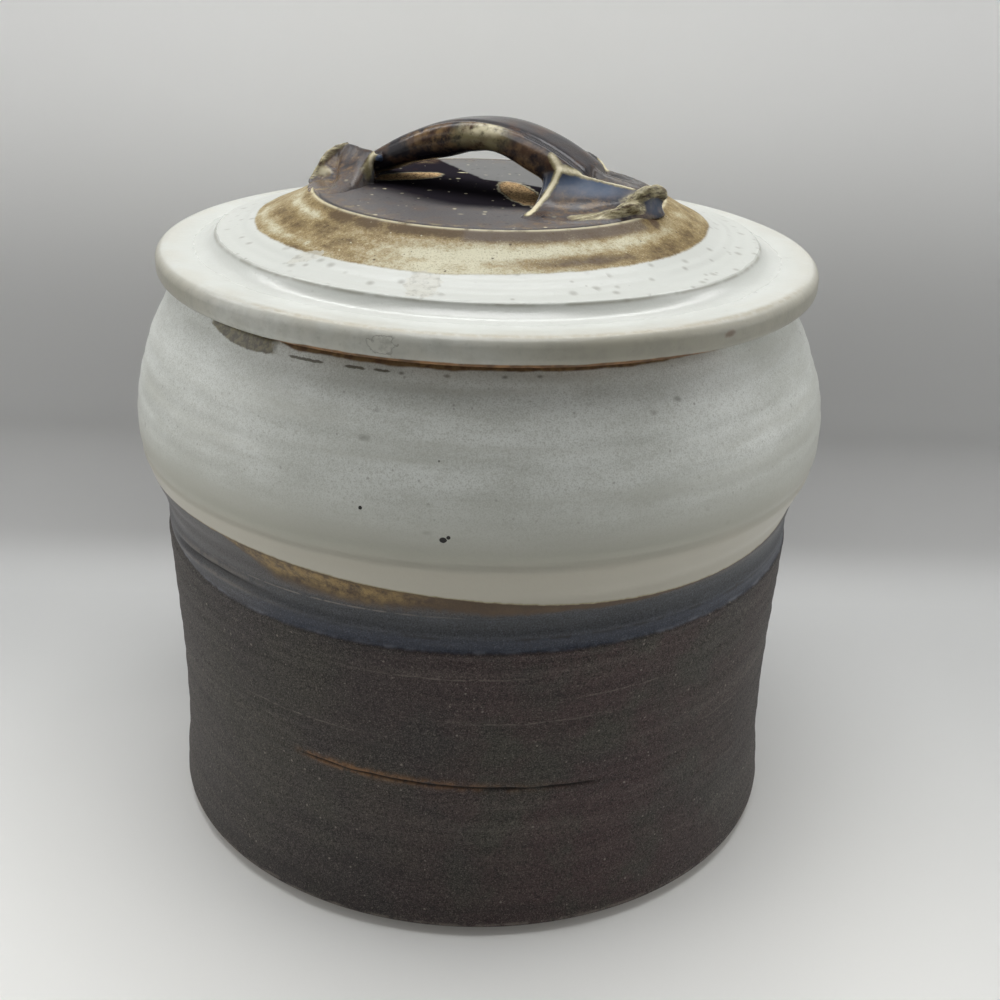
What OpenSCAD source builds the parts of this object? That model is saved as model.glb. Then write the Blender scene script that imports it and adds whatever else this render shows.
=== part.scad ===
// Lidded stoneware canister: a thrown jar with a belly under its rim, and a lift-off lid with a strap handle.
// Millimetres, +Z up, origin at the middle of the base, on the surface that the jar stands on.
// The viewer stands on the -Y side, with +X to the right.

/* [Jar] */
// Height of the jar from its base to the flat rim that the lid sits on
jar_h = 191; // [170:1:260]
// Radius of the sharp bottom edge of the wall
foot_r = 109.7; // [90:0.1:130]
// Height of the undercut below the bottom edge
undercut_h = 4; // [2:0.5:8]
// How far the undercut runs in from the bottom edge
undercut_w = 4.5; // [1:0.5:8]
// Radius of the lower wall at its narrowest
narrow_r = 107.2; // [90:0.1:130]
// Height of the narrowest place
narrow_z = 40; // [20:1:70]
// Radius of the waist under the belly
waist_r = 109.2; // [90:0.1:130]
// Height of the waist
waist_z = 114; // [85:1:130]
// Radius of the belly at its widest
belly_r = 116.6; // [112:0.1:140]
// Height of the widest place
belly_z = 144; // [135:1:160]
// Outer radius of the rim
neck_r = 100.6; // [85:0.1:110]
// Width of the flat top of the rim
rim_w = 9; // [6:0.5:14]
// Height of the straight inner face of the rim
rim_lip_h = 4; // [2:0.5:7]
// Height over which the wall thickens into the rim
rim_swell_h = 11; // [8:0.5:20]
// Thickness of the wall
wall_t = 7.5; // [5:0.5:12]
// Thickness of the floor
floor_t = 9; // [6:0.5:14]
// Radius of the hollow between the floor and the wall
floor_fillet_r = 14; // [6:1:25]

/* [Lid] */
// How far the lid's rim stands out past the jar's rim
lid_overhang = 8.1; // [4:0.1:14]
// Thickness of the lid's rim
lid_rim_t = 9; // [7:0.5:14]
// Radius that rounds the edge of the lid's rim
lid_round_r = 3.2; // [1:0.1:3.4]
// Width of the ledge from the lid's outer edge to the raised step
ledge_w = 19; // [12:0.5:24]
// Height of the raised step, and radius of the hollow at its foot
step_h = 4; // [2:0.5:7]
// Rise of the dome from the step to the turned flat on top
dome_rise = 12.5; // [6:0.5:20]
// Hollowness of the dome's slope, where 1 is a straight cone
dome_power = 1.6; // [1:0.1:2.5]
// Radius of the turned flat that carries the handle
flat_r = 57.9; // [45:0.1:70]
// Depth of the line scored just inside the edge of the flat
score_d = 0.6; // [0.2:0.1:1.2]
// Width of the scored line, and of the lip outside it
score_w = 1.0; // [0.5:0.1:2]
// Thickness of the dome
lid_t = 9.5; // [6:0.5:13]
// Play between the locating ring and the jar's rim
ring_play = 2.5; // [1:0.1:4]
// Share of that play by which the lid lies to the right of the middle
lid_lean = 0.68; // [0:0.02:0.8]
// Thickness of the locating ring
ring_t = 7; // [4:0.5:10]
// Depth of the locating ring below the jar's rim
ring_h = 14; // [8:0.5:20]

/* [Handle] */
// Angle in plan that brings the right end of the strap towards the viewer
handle_turn = 27; // [0:1:60]
// Thickness of the strap at its crown
strap_t = 9.8; // [6:0.1:15]
// Width of the strap at its crown
strap_w = 26; // [18:0.5:34]
// Drop of the strap's top from its middle to its rounded edges
strap_round_h = 2.6; // [0.5:0.1:5]
// Height of the finger gap under the crown
gap_h = 13.6; // [8:0.1:16]
// Length of the finger gap along the flat
gap_l = 58; // [40:1:64]
// Distance from the crown to the foot, where the strap turns into a pressed end
foot_reach = 38; // [34:1:42]
// How far the tip of a pressed end stands out past the edge of the flat
tip_overhang = 2.1; // [-4:0.1:6]
// Width of a pressed end
end_w = 35; // [24:0.5:44]
// Height of the crest that runs out along a pressed end
crest_h = 9.4; // [6:0.1:14]
// Half width of that crest
crest_w = 6; // [3:0.5:10]
// Height of the torn lip at the tip of a pressed end
lip_h = 7; // [3:0.1:10]
// Thickness of the thumbed hollow on each side of the crest
hollow_t = 2.6; // [1.5:0.1:5]

/* [Hidden] */
$fn = 180;
// Steps along each wall curve, along a fillet and along the handle
wall_steps = 12;
fillet_steps = 6;
handle_steps = 24;
across_steps = 14;
// How sharply the strap's edges and the lip at each tip turn
strap_edge_power = 4;
lip_power = 3;

mouth_r = neck_r - rim_w;
ring_r = mouth_r - ring_play;
ring_bore_r = ring_r - ring_t;
lid_r = neck_r + lid_overhang;
lid_rim_z = jar_h + lid_rim_t;
step_r = lid_r - ledge_w;
step_z = lid_rim_z + step_h;
flat_z = step_z + dome_rise;
lid_shift = ring_play * lid_lean;
gap_half = gap_l / 2;
crown_h = gap_h + strap_t;
tip_reach = flat_r + tip_overhang;

// Curves that run from 0 to 1: slow at both ends, at the start, or at the end
function ease(t) = (1 - cos(180 * t)) / 2;
function slow_start(t) = 1 - cos(90 * t);
function slow_end(t) = sin(90 * t);
function mix(a, b, t) = a + (b - a) * t;
function clamp(t) = min(max(t, 0), 1);
function part_way(x, lo, hi) = clamp((x - lo) / (hi - lo));

// Evenly spaced numbers from lo to hi, with both ends
function spread(lo, hi, steps) = [for (i = [0:steps]) mix(lo, hi, i / steps)];

// Points of an arc from angle a to angle b
function arc(centre, r, a, b) =
    [for (t = spread(a, b, fillet_steps)) centre + r * [cos(t), sin(t)]];

// Outer radius of the jar at a height
function wall_r(z) =
    z < narrow_z ? mix(foot_r, narrow_r, slow_end(part_way(z, undercut_h, narrow_z))) :
    z < waist_z ? mix(narrow_r, waist_r, ease(part_way(z, narrow_z, waist_z))) :
    z < belly_z ? mix(waist_r, belly_r, ease(part_way(z, waist_z, belly_z))) :
    mix(belly_r, neck_r, slow_start(part_way(z, belly_z, jar_h)));

// Heights of the wall's points between the levels where its curve changes
function wall_levels(levels) = concat(
    [for (k = [0:len(levels) - 2]) for (i = [0:wall_steps - 1])
        mix(levels[k], levels[k + 1], i / wall_steps)],
    [levels[len(levels) - 1]]);

// Height of the lid's dome at a radius between the flat and the step
function dome_z(r) = step_z + dome_rise * pow(part_way(r, step_r, flat_r), dome_power);

// Top of the strap along its middle, and its underside, at a distance u from the crown
function strap_top(u) = mix(crown_h, crest_h, pow(part_way(abs(u), 0, foot_reach), 2));
function end_top(u) = mix(crest_h, lip_h, part_way(abs(u), foot_reach, tip_reach));
function strap_under(u) = gap_h * max(0, 1 - pow(u / gap_half, 2));

// Half width of the handle: the strap flares into its pressed ends, which are round in plan
function half_w(u) =
    abs(u) < foot_reach ? mix(strap_w, end_w, ease(part_way(abs(u), gap_half / 2, foot_reach))) / 2 :
    mix(end_w, strap_w / 2, slow_start(part_way(abs(u), foot_reach, tip_reach))) / 2;

// Top of the handle at u along it and s across it, where s runs from -1 to 1
function strap_face(u, s) = strap_top(u) - strap_round_h * pow(abs(s), strap_edge_power);
function crest(u, s) = exp(-pow(s * half_w(u) / crest_w, 2));
function tip_lip(u, s) = pow(part_way(abs(u), foot_reach, tip_reach), lip_power) * (1 - pow(s, 2));
function hollow_face(u, s) = mix(hollow_t, end_top(u), max(crest(u, s), tip_lip(u, s)));
function handle_top(u, s) =
    mix(strap_face(u, s), hollow_face(u, s), ease(part_way(abs(u), gap_half, foot_reach + crest_w)));

// One closed ring of points across the handle: along the top, and back under it
function handle_ring(u) = concat(
    [for (s = spread(-1, 1, across_steps)) [u, s * half_w(u), handle_top(u, s)]],
    [for (s = [1, -1]) [u, s * half_w(u), strap_under(u)]]);

module jar_body() {
    levels = [undercut_h, narrow_z, waist_z, belly_z, jar_h];
    inner_levels = [floor_t + floor_fillet_r, waist_z, belly_z, jar_h - rim_swell_h];
    fillet_r = wall_r(inner_levels[0]) - wall_t - floor_fillet_r;
    outer = [for (z = wall_levels(levels)) [wall_r(z), z]];
    inner = [for (z = wall_levels(inner_levels)) [wall_r(z) - wall_t, z]];
    floor_arc = arc([fillet_r, inner_levels[0]], floor_fillet_r, 0, -90);
    color([0.42, 0.39, 0.37])
        rotate_extrude()
            polygon(concat(
                [[0, 0], [foot_r - undercut_w, 0]],
                outer,
                [[mouth_r, jar_h], [mouth_r, jar_h - rim_lip_h]],
                [for (i = [len(inner) - 1:-1:1]) inner[i]],
                floor_arc,
                [[0, floor_t]]));
}

// Puts the lid where it lies in its play
module on_jar() {
    translate([lid_shift, 0, 0])
        children();
}

module lid_cover() {
    rounded_r = lid_r - lid_round_r;
    radii = spread(step_r, flat_r, wall_steps);
    inner_radii = spread(flat_r, ring_bore_r, wall_steps);
    color([0.80, 0.80, 0.77])
        on_jar()
            rotate_extrude()
                polygon(concat(
                    [[0, flat_z - lid_t]],
                    [for (r = inner_radii) [r, dome_z(r) - lid_t]],
                    [[ring_bore_r, jar_h]],
                    arc([rounded_r, jar_h + lid_round_r], lid_round_r, -90, 0),
                    arc([rounded_r, lid_rim_z - lid_round_r], lid_round_r, 0, 90),
                    arc([step_r + step_h, step_z], step_h, -90, -180),
                    [for (i = [1:wall_steps]) [radii[i], dome_z(radii[i])]],
                    [[flat_r - score_w, flat_z],
                     [flat_r - 1.5 * score_w, flat_z - score_d],
                     [flat_r - 2 * score_w, flat_z],
                     [0, flat_z]]));
}

module lid_locating_ring() {
    color([0.62, 0.47, 0.34])
        on_jar()
            rotate_extrude()
                translate([ring_bore_r, jar_h - ring_h])
                    square([ring_t, ring_h]);
}

module lid_handle() {
    ring_points = len(handle_ring(0));
    rings = 2 * handle_steps + 1;
    points = [for (u = spread(-tip_reach, tip_reach, rings - 1)) each handle_ring(u)];
    // Two triangles between neighbouring rings, all the way round
    sides = [for (i = [0:rings - 2]) for (j = [0:ring_points - 1])
        let (a = i * ring_points + j)
        let (b = i * ring_points + (j + 1) % ring_points)
        each [[a, b, b + ring_points], [a, b + ring_points, a + ring_points]]];
    first_end = [for (j = [ring_points - 1:-1:0]) j];
    last_end = [for (j = [0:ring_points - 1]) (rings - 1) * ring_points + j];
    color([0.23, 0.19, 0.17])
        on_jar()
            translate([0, 0, flat_z])
                rotate([0, 0, -handle_turn])
                    polyhedron(points = points, faces = concat(sides, [first_end, last_end]));
}

jar_body();
lid_cover();
lid_locating_ring();
lid_handle();
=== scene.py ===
# %% [markdown]
# # A lidded stoneware canister
# The real object is thrown on a wheel: a jar with a belly under its rim, and a domed lid that carries a
# pulled strap. Half of it is dipped in a pale glaze and the rest is bare, dark clay. This lesson models the
# turned pieces by spinning an outline, the strap by pressing soft pieces into one skin, and paints the
# glazes with nodes.

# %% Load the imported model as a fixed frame
import math

import bpy
import numpy as np
from mathutils import Matrix, Vector


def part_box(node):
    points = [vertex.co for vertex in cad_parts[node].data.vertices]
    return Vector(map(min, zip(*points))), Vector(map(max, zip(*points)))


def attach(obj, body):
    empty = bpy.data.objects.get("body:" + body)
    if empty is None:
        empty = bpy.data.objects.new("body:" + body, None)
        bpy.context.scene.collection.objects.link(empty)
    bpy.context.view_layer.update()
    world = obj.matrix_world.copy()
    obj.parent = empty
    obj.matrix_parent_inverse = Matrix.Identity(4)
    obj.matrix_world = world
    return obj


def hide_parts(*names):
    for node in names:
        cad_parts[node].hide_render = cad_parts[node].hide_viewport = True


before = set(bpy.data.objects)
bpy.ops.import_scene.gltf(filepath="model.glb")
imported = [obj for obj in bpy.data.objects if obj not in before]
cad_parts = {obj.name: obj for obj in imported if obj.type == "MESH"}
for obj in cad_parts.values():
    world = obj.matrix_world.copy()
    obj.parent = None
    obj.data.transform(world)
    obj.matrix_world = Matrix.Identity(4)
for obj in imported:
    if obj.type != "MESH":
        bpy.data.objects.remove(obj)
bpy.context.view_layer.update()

# %% [markdown]
# ## Sizes
# A potter measures in millimetres and Blender counts in metres, so every size below is in millimetres and
# `MM` turns it into metres when a mesh is written. What the frame already knows is read from its boxes, so
# the pieces land where the solids are.

# %% Read the main sizes from the frame
MM = 0.001


def size_of(node):
    """Lowest and highest corner of a solid, in millimetres."""
    low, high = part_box(node)
    return np.array(low) / MM, np.array(high) / MM


jar_low, jar_high = size_of("jar_body")
lid_low, lid_high = size_of("lid_cover")
ring_low, ring_high = size_of("lid_locating_ring")
handle_high = size_of("lid_handle")[1]
jar_h = jar_high[2]
belly_r = (jar_high[0] - jar_low[0]) / 2
lid_r = (lid_high[0] - lid_low[0]) / 2
lid_shift = (lid_high[0] + lid_low[0]) / 2
flat_z = lid_high[2]
ring_r = (ring_high[0] - ring_low[0]) / 2
ring_bottom_z = ring_low[2]
crown_h = handle_high[2] - flat_z
print(f"jar {jar_h:.1f} high, belly {belly_r:.1f}, lid {lid_r:.1f}")
print(f"flat at {flat_z:.1f}, crown {crown_h:.1f} above it")

# %% [markdown]
# ## Small tools
# Curves that ease from 0 to 1, a bell that is 1 at its centre, and an uneven ripple made of a few random
# waves. The ripple has a seed, so the jar comes out the same on every run.

# %% Curves that shape the clay


def part_way(x, low, high):
    return np.clip((x - low) / (high - low), 0, 1)


def ease(t):
    return (1 - np.cos(np.pi * t)) / 2


def mix(a, b, t):
    return a + (b - a) * t


def bell(x, centre, width):
    return np.exp(-(((x - centre) / width) ** 2))


def ripple(turn, height, seed, waves=12, lobes=3, pitch=20):
    """Uneven waves over a turned wall, of about unit size.

    At most lobes of them go round it, and each is at least pitch millimetres high.
    """
    rng = np.random.default_rng(seed)
    total = np.zeros(np.shape(turn))
    for _ in range(waves):
        around = rng.integers(0, lobes + 1)
        upright = rng.uniform(-1, 1) * 2 * np.pi / pitch
        total += np.cos(around * np.radians(turn) + upright * height + rng.uniform(0, 2 * np.pi))
    return total / math.sqrt(waves / 2)


def places(piece):
    """A mesh's vertices as an array in millimetres."""
    flat = np.zeros(3 * len(piece.data.vertices), np.float32)
    piece.data.vertices.foreach_get("co", flat)
    return flat.reshape(-1, 3).astype(float) / MM


def move(piece, points):
    piece.data.vertices.foreach_set("co", (points * MM).astype(np.float32).ravel())
    piece.data.update()


def paint(piece, name, values):
    """Keeps one number per vertex on the mesh, for its material to read."""
    layer = piece.data.attributes.new(name, "FLOAT", "POINT")
    layer.data.foreach_set("value", np.asarray(values, np.float32))


def tell(piece):
    piece.data.calc_loop_triangles()
    low, high = places(piece).min(0), places(piece).max(0)
    print(piece.name, len(piece.data.loop_triangles), "triangles, box", low.round(1), high.round(1))


# %% [markdown]
# ## Throwing on the wheel
# A thrown piece is an outline turned round an upright axis. The outline is drawn as by hand, by extruding
# one vertex from point to point, and Spin turns it. A Screw modifier would do that as well, but Spin leaves
# a plain mesh at once, and marks can then be pressed into it. Spin also leaves a seam and a heap of points
# on the axis, so doubles are merged, and then the normals are made to point outwards.

# %% Turn an outline


def throw(name, outline, steps):
    bpy.ops.object.select_all(action="DESELECT")
    bpy.ops.mesh.primitive_plane_add(size=MM)
    piece = bpy.context.object
    piece.name = name
    bpy.ops.object.mode_set(mode="EDIT")
    bpy.ops.mesh.select_all(action="SELECT")
    bpy.ops.mesh.merge(type="CENTER")
    bpy.ops.transform.translate(value=(outline[0][0] * MM, 0, outline[0][1] * MM))
    for here, there in zip(outline, outline[1:]):
        step = ((there[0] - here[0]) * MM, 0, (there[1] - here[1]) * MM)
        bpy.ops.mesh.extrude_vertices_move(TRANSFORM_OT_translate={"value": step})
    bpy.ops.mesh.select_all(action="SELECT")
    bpy.ops.mesh.spin(steps=steps, angle=2 * math.pi, center=(0, 0, 0), axis=(0, 0, 1))
    bpy.ops.mesh.select_all(action="SELECT")
    bpy.ops.mesh.remove_doubles(threshold=0.01 * MM)
    bpy.ops.mesh.normals_make_consistent(inside=False)
    bpy.ops.object.mode_set(mode="OBJECT")
    bpy.ops.object.shade_smooth()
    return piece


def arc(centre_r, centre_z, radius, start, end, steps):
    """Points of a rounded corner, from one angle to another in degrees."""
    angles = np.radians(np.linspace(start, end, steps + 1))
    return [(centre_r + radius * np.cos(a), centre_z + radius * np.sin(a)) for a in angles]


def levels(*stops):
    """Numbers that run from stop to stop. Each stop after the first comes with the step towards it."""
    run = [stops[0]]
    for end, step in stops[1:]:
        count = max(1, round(abs(end - run[-1]) / step))
        run.extend(np.linspace(run[-1], end, count + 1)[1:])
    return np.array(run)


# %% [markdown]
# ## The jar
# The wall starts at a sharp foot with an undercut below it, narrows a little, and swells into a belly that
# closes in to a flat rim. The outline is the same as the solid's. Its points lie closest together where
# thin marks will be pressed in later: at the drying crack and at the edge of the glaze.

# %% Draw the jar's outline and spin it
foot_r = 109.7
undercut_h = 4
undercut_w = 4.5
foot_round = 0.8
narrow_r = 107.2
narrow_z = 40
waist_r = 109.2
waist_z = 114
belly_z = 144
neck_r = 100.6
rim_w = 9
mouth_r = neck_r - rim_w
rim_lip_h = 4
rim_swell_h = 11
rim_round = 1.2
wall_t = 7.5
floor_t = 9
floor_fillet_r = 14
crack_z = 56.7
glaze_z = 124.8
jar_steps = 288


def wall_r(z):
    """Outer radius of the jar at a height."""
    foot = mix(foot_r, narrow_r, np.sin(np.pi / 2 * part_way(z, undercut_h, narrow_z)))
    lower = mix(narrow_r, waist_r, ease(part_way(z, narrow_z, waist_z)))
    swell = mix(waist_r, belly_r, ease(part_way(z, waist_z, belly_z)))
    shoulder = mix(belly_r, neck_r, 1 - np.cos(np.pi / 2 * part_way(z, belly_z, jar_h)))
    upper = np.where(z < belly_z, swell, shoulder)
    return np.where(z < narrow_z, foot, np.where(z < waist_z, lower, upper))


outer_z = levels(
    undercut_h + 0.9, (crack_z - 6, 1.4), (crack_z - 1.2, 0.8), (crack_z + 1.2, 0.3), (crack_z + 6, 0.8),
    (102, 1.4), (glaze_z - 1, 0.6), (glaze_z + 1, 0.25), (150, 0.9), (jar_h - rim_round, 1.2),
)
inner_z = levels(jar_h - rim_swell_h, (belly_z, 2), (floor_t + floor_fillet_r, 3))
fillet_r = wall_r(inner_z[-1]) - wall_t - floor_fillet_r
jar_outline = (
    [(0, 0), (40, 0), (80, 0), (foot_r - undercut_w - foot_round, 0)]
    + arc(foot_r - undercut_w - foot_round, foot_round, foot_round, -90, -40, 3)
    + [(foot_r - 0.9, undercut_h - 0.6), (foot_r - 0.2, undercut_h + 0.1)]
    + [(float(wall_r(z)), z) for z in outer_z]
    + arc(neck_r - rim_round, jar_h - rim_round, rim_round, 20, 90, 4)
    + [(mix(neck_r, mouth_r, t), jar_h) for t in (0.3, 0.5, 0.7)]
    + arc(mouth_r + rim_round, jar_h - rim_round, rim_round, 90, 180, 4)
    + [(mouth_r, jar_h - rim_lip_h)]
    + [(float(wall_r(z)) - wall_t, z) for z in inner_z]
    + arc(fillet_r, floor_t + floor_fillet_r, floor_fillet_r, -10, -90, 8)
    + [(r, floor_t) for r in (70, 50, 30, 12, 0)]
)
jar = throw("jar", jar_outline, jar_steps)
tell(jar)

# %% [markdown]
# ## Marks of the wheel and of the kiln on the jar
# Real throwing leaves soft rings, a tool leaves a step where the bare wall starts, and drying left one long
# crack. Bump in a material could draw them, but here they are pressed into the mesh, so they catch light
# from every side. `turn` is the angle round the jar: 0 at the front, 90 at the right.

# %% Say where the marks are
glaze_sway = 5.8
glaze_high_turn = -55
crack_slope = -0.075
crack_turn = (-31, 25)
crack_middle = -3
crack_deep = 0.8
gouge_z_at_front = 112.7
gouge_fall = 2.3
gouge_falls_at = (-46, -67)
gouge_turn = -50
gouge_spread = 14
crease_z_at_front = 135.6
crease_lean = 1.6
band_low_z = 104.2
seam_z = 109.4
line_z = 116.6
line_turn = -24
foot_chips = ((-37, 1.5, 1.0), (-34.5, 1.0, 1.0), (31, 1.2, 0.6))
rim_drop = 0.0134


def glaze_edge(turn):
    """Height of the glaze's lower edge: it was dipped at a slant, twice."""
    return glaze_z + glaze_sway * np.cos(2 * np.radians(turn - glaze_high_turn))


def gouge_height(turn):
    """Height of the gouge that a tool left in the band on the left."""
    return gouge_z_at_front - gouge_fall * part_way(turn, *gouge_falls_at)


def crack_height(turn):
    return crack_z + crack_slope * (np.clip(turn, *crack_turn) - crack_middle)


def settle(points):
    """The rim dried a little out of level, so everything on it leans to the right."""
    lean = rim_drop * ease(part_way(points[:, 2], belly_z, jar_h - rim_swell_h))
    return points - np.stack([0 * lean, 0 * lean, points[:, 0] * lean], 1)


def mark_wall(turn, z):
    """How far the outer wall stands out from its plain outline."""
    rings = 0.08 * ripple(0.15 * turn, z, 1, 14, 1, 5) + 0.13 * ripple(0.5 * turn, z, 2, 10, 2, 9)
    bare = part_way(z, 108, 104)
    gritty = 0.07 * ripple(turn, z, 3, 60, 40, 3.2) + 0.10 * ripple(0.2 * turn, z, 4, 16, 1, 3.6)
    wobble = 0.25 * np.cos(2 * np.radians(turn) + 0.7) + 0.12 * np.cos(3 * np.radians(turn) + 2)
    crease_z = crease_z_at_front - crease_lean * np.sin(np.radians(turn))
    crease = 0.55 * part_way(z, crease_z + 0.7, crease_z - 0.4) * part_way(z, crease_z - 9, crease_z - 1)
    crease = crease - 0.25 * bell(z, crease_z + 1.6, 1.6)
    band = -0.32 * part_way(z, band_low_z, band_low_z + 1) * part_way(z, 119, 115)
    ledge = 0.22 * bell(z, band_low_z, 0.8)
    line = 0.20 * bell(z, line_z, 0.45) * bell(turn, line_turn, 22)
    left = bell(turn, gouge_turn, gouge_spread)
    gouge_z = gouge_height(turn)
    gouge = -1.2 * left * bell(z, gouge_z, 0.85) - 0.15 * bell(z, seam_z, 0.6)
    lips = left * (0.7 * bell(z, gouge_z + 2.2, 0.9) + 0.3 * bell(z, gouge_z - 2, 0.8))
    glaze_coat = 0.16 * part_way(z - glaze_edge(turn), -0.15, 0.25)
    crack_left, crack_right = crack_turn
    ends = part_way(turn, crack_left, crack_left + 5) * part_way(turn, crack_right, crack_right - 9)
    depth = crack_deep * ends * (0.75 + 0.35 * ripple(turn, z, 5, 24, 60, 400))
    from_crack = z - crack_height(turn)
    crack = -depth * bell(from_crack, 0, 0.42) + 0.12 * ends * bell(from_crack, -1.2, 0.7)
    chipped = sum(share * bell(turn, middle, width) for middle, width, share in foot_chips)
    chips = -0.7 * bell(z, 5, 1.3) * chipped
    quiet = part_way(z, jar_h - 2, jar_h - 8)
    rough = rings * (1 - 0.6 * bare) + gritty * bare
    soft_forms = (rough + crease + glaze_coat) * quiet + wobble * 0.5
    return soft_forms + band + ledge + line + gouge + lips + crack + chips


print(f"at the front the glaze ends at {glaze_edge(0):.1f} and the crack lies at {crack_height(0):.1f}")

# %% [markdown]
# A thin mark needs a row of vertices that follows it. So the rows are first slid up or down until one lies
# along the crack and another along the slanting edge of the glaze. Then the outer wall moves in and out by
# its marks. Inside, the fingers left broader rings, and the floor stays flat.

# %% Press the marks into the jar
jar_points = places(jar)
jar_radius = np.hypot(jar_points[:, 0], jar_points[:, 1])
jar_turn = np.degrees(np.arctan2(jar_points[:, 0], -jar_points[:, 1]))
outside = (np.abs(jar_radius - wall_r(jar_points[:, 2])) < 0.05) & (jar_points[:, 2] > undercut_h + 0.5)
inside = (jar_radius < wall_r(jar_points[:, 2]) - wall_t + 0.5) & (jar_points[:, 2] > floor_t - 0.1)
inside &= jar_points[:, 2] < jar_h - rim_lip_h + 0.1

slide = (crack_height(jar_turn) - crack_z) * bell(jar_points[:, 2], crack_z, 14)
slide += (glaze_edge(jar_turn) - glaze_z) * bell(jar_points[:, 2], glaze_z, 15)
height = np.where(outside, jar_points[:, 2] + slide, jar_points[:, 2])
radius = np.where(outside, wall_r(height) + mark_wall(jar_turn, height), jar_radius)
finger_rings = 0.35 * ripple(0.2 * jar_turn, jar_points[:, 2], 6, 10, 1, 9)
radius = np.where(inside, radius + finger_rings * part_way(jar_radius, 60, 90), radius)
radius = np.minimum(radius, belly_r - 0.05)
away = np.divide(radius, jar_radius, out=np.ones_like(radius), where=jar_radius > 0.01)
jar_points = np.stack([jar_points[:, 0] * away, jar_points[:, 1] * away, height], 1)
move(jar, settle(jar_points))
paint(jar, "inside", inside)
tell(jar)

# %% [markdown]
# ## The lid
# From the outside in: a rounded rim that overhangs the jar, a dished ledge, a hollow that climbs to a soft
# brow, a slope that steepens towards the middle, and a turned flat with a line scored just inside its edge.
# Under it a seat lies on the jar's rim. It is thrown like the jar.

# %% Draw the lid's outline and spin it
lid_rim_t = 9
lid_rim_z = jar_h + lid_rim_t
lid_round_r = 3.2
edge_w = 4.2
edge_h = 3.6
ledge_w = 19
step_r = lid_r - ledge_w
step_h = 4
step_z = lid_rim_z + step_h
ledge_dish = 0.3
cove_slope = 60
brow_r = 1.6
dome_power = 1.6
flat_r = 57.9
score_w = 1.0
score_d = 0.6
lid_t = 9.5
ring_t = 7
ring_bore_r = ring_r - ring_t
lid_steps = 288


def dome_z(r):
    return step_z + (flat_z - step_z) * part_way(r, step_r, flat_r) ** dome_power


rounded_r = lid_r - lid_round_r
edge_r = lid_r - edge_w
under_r = levels(flat_r, (ring_bore_r, 2.5))
brow = arc(step_r - brow_r, float(dome_z(step_r - brow_r)) - brow_r, brow_r, 90 - cove_slope, 80, 5)
ledge_low_z = lid_rim_z - ledge_dish
cove_r = (brow[0][1] - ledge_low_z) / (1 - math.cos(math.radians(cove_slope)))
cove_end_r = brow[0][0] + cove_r * math.sin(math.radians(cove_slope))
cove = arc(cove_end_r, ledge_low_z + cove_r, cove_r, -90, -90 - cove_slope, 14)
ledge_r = levels(edge_r - 0.6, (cove_end_r + 0.6, 0.8))
slope_r = levels(step_r - brow_r - 0.5, (flat_r + 0.6, 0.75))
disc_r = levels(flat_r - 2 * score_w - 0.2, (24, 0.9), (3, 1.6))
lid_outline = (
    [(0, flat_z - lid_t), (20, flat_z - lid_t), (40, flat_z - lid_t)]
    + [(r, float(dome_z(r)) - lid_t) for r in under_r]
    + [(ring_bore_r, jar_h), (ring_r, jar_h), (95, jar_h), (99, jar_h)]
    + arc(rounded_r, jar_h + lid_round_r, lid_round_r, -90, 0, 8)
    + [(lid_r, mix(jar_h, lid_rim_z, 0.5))]
    + [(edge_r + edge_w * r, lid_rim_z - edge_h * (1 - z)) for r, z in arc(0, 0, 1, 0, 90, 12)]
    + [(r, lid_rim_z - ledge_dish * float(ease(part_way(r, edge_r, cove_end_r)))) for r in ledge_r]
    + cove[:-1]
    + brow
    + [(r, float(dome_z(r))) for r in slope_r]
    + [(flat_r, flat_z - 0.12), (flat_r - 0.5, flat_z)]
    + [(flat_r - score_w, flat_z - 0.1), (flat_r - 1.3 * score_w, flat_z - score_d)]
    + [(flat_r - 1.7 * score_w, flat_z - score_d), (flat_r - 2 * score_w, flat_z - 0.1)]
    + [(r, flat_z) for r in disc_r]
    + [(0, flat_z)]
)
lid = throw("lid", lid_outline, lid_steps)
tell(lid)

# %% [markdown]
# The lid was trimmed while it turned, so the slope has faint rings, and its rim is not quite round. The
# whole lid then moves to where it lies in its play on the jar, and leans with the rim.

# %% Press the wheel's marks into the lid
lid_points = places(lid)
lid_radius = np.hypot(lid_points[:, 0], lid_points[:, 1])
lid_turn = np.degrees(np.arctan2(lid_points[:, 0], -lid_points[:, 1]))
on_top = lid_points[:, 2] > ledge_low_z - 0.05
under_dome = (lid_points[:, 2] < dome_z(lid_radius) - lid_t / 2) & (lid_radius < ring_bore_r + 0.1)
turned = 0.05 * ripple(0.1 * lid_turn, lid_radius, 11, 14, 1, 3.2)
turned = turned * part_way(lid_radius, flat_r, flat_r + 6)
lumps = 0.10 * ripple(lid_turn, lid_radius, 12, 16, 5, 25) * part_way(lid_radius, flat_r, flat_r + 12)
rise = np.where(on_top, turned + lumps, 0)
at_most = np.where(lid_points[:, 2] > flat_z - 0.05, 0, np.inf)
lid_points[:, 2] += np.minimum(rise, at_most)
rim_wave = 1 + 0.0012 * np.cos(2 * np.radians(lid_turn) + 1) * part_way(lid_radius, 80, lid_r)
lid_points[:, :2] *= np.minimum(rim_wave, 1)[:, None]
lid_points[:, 0] += lid_shift
move(lid, settle(lid_points))
paint(lid, "inside", under_dome)
tell(lid)

# %% [markdown]
# ## The locating ring
# A ring of clay under the lid drops into the jar's mouth and keeps the lid in its place. It is thrown like
# the rest, and its lower edges are wiped round as with a sponge.

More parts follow.
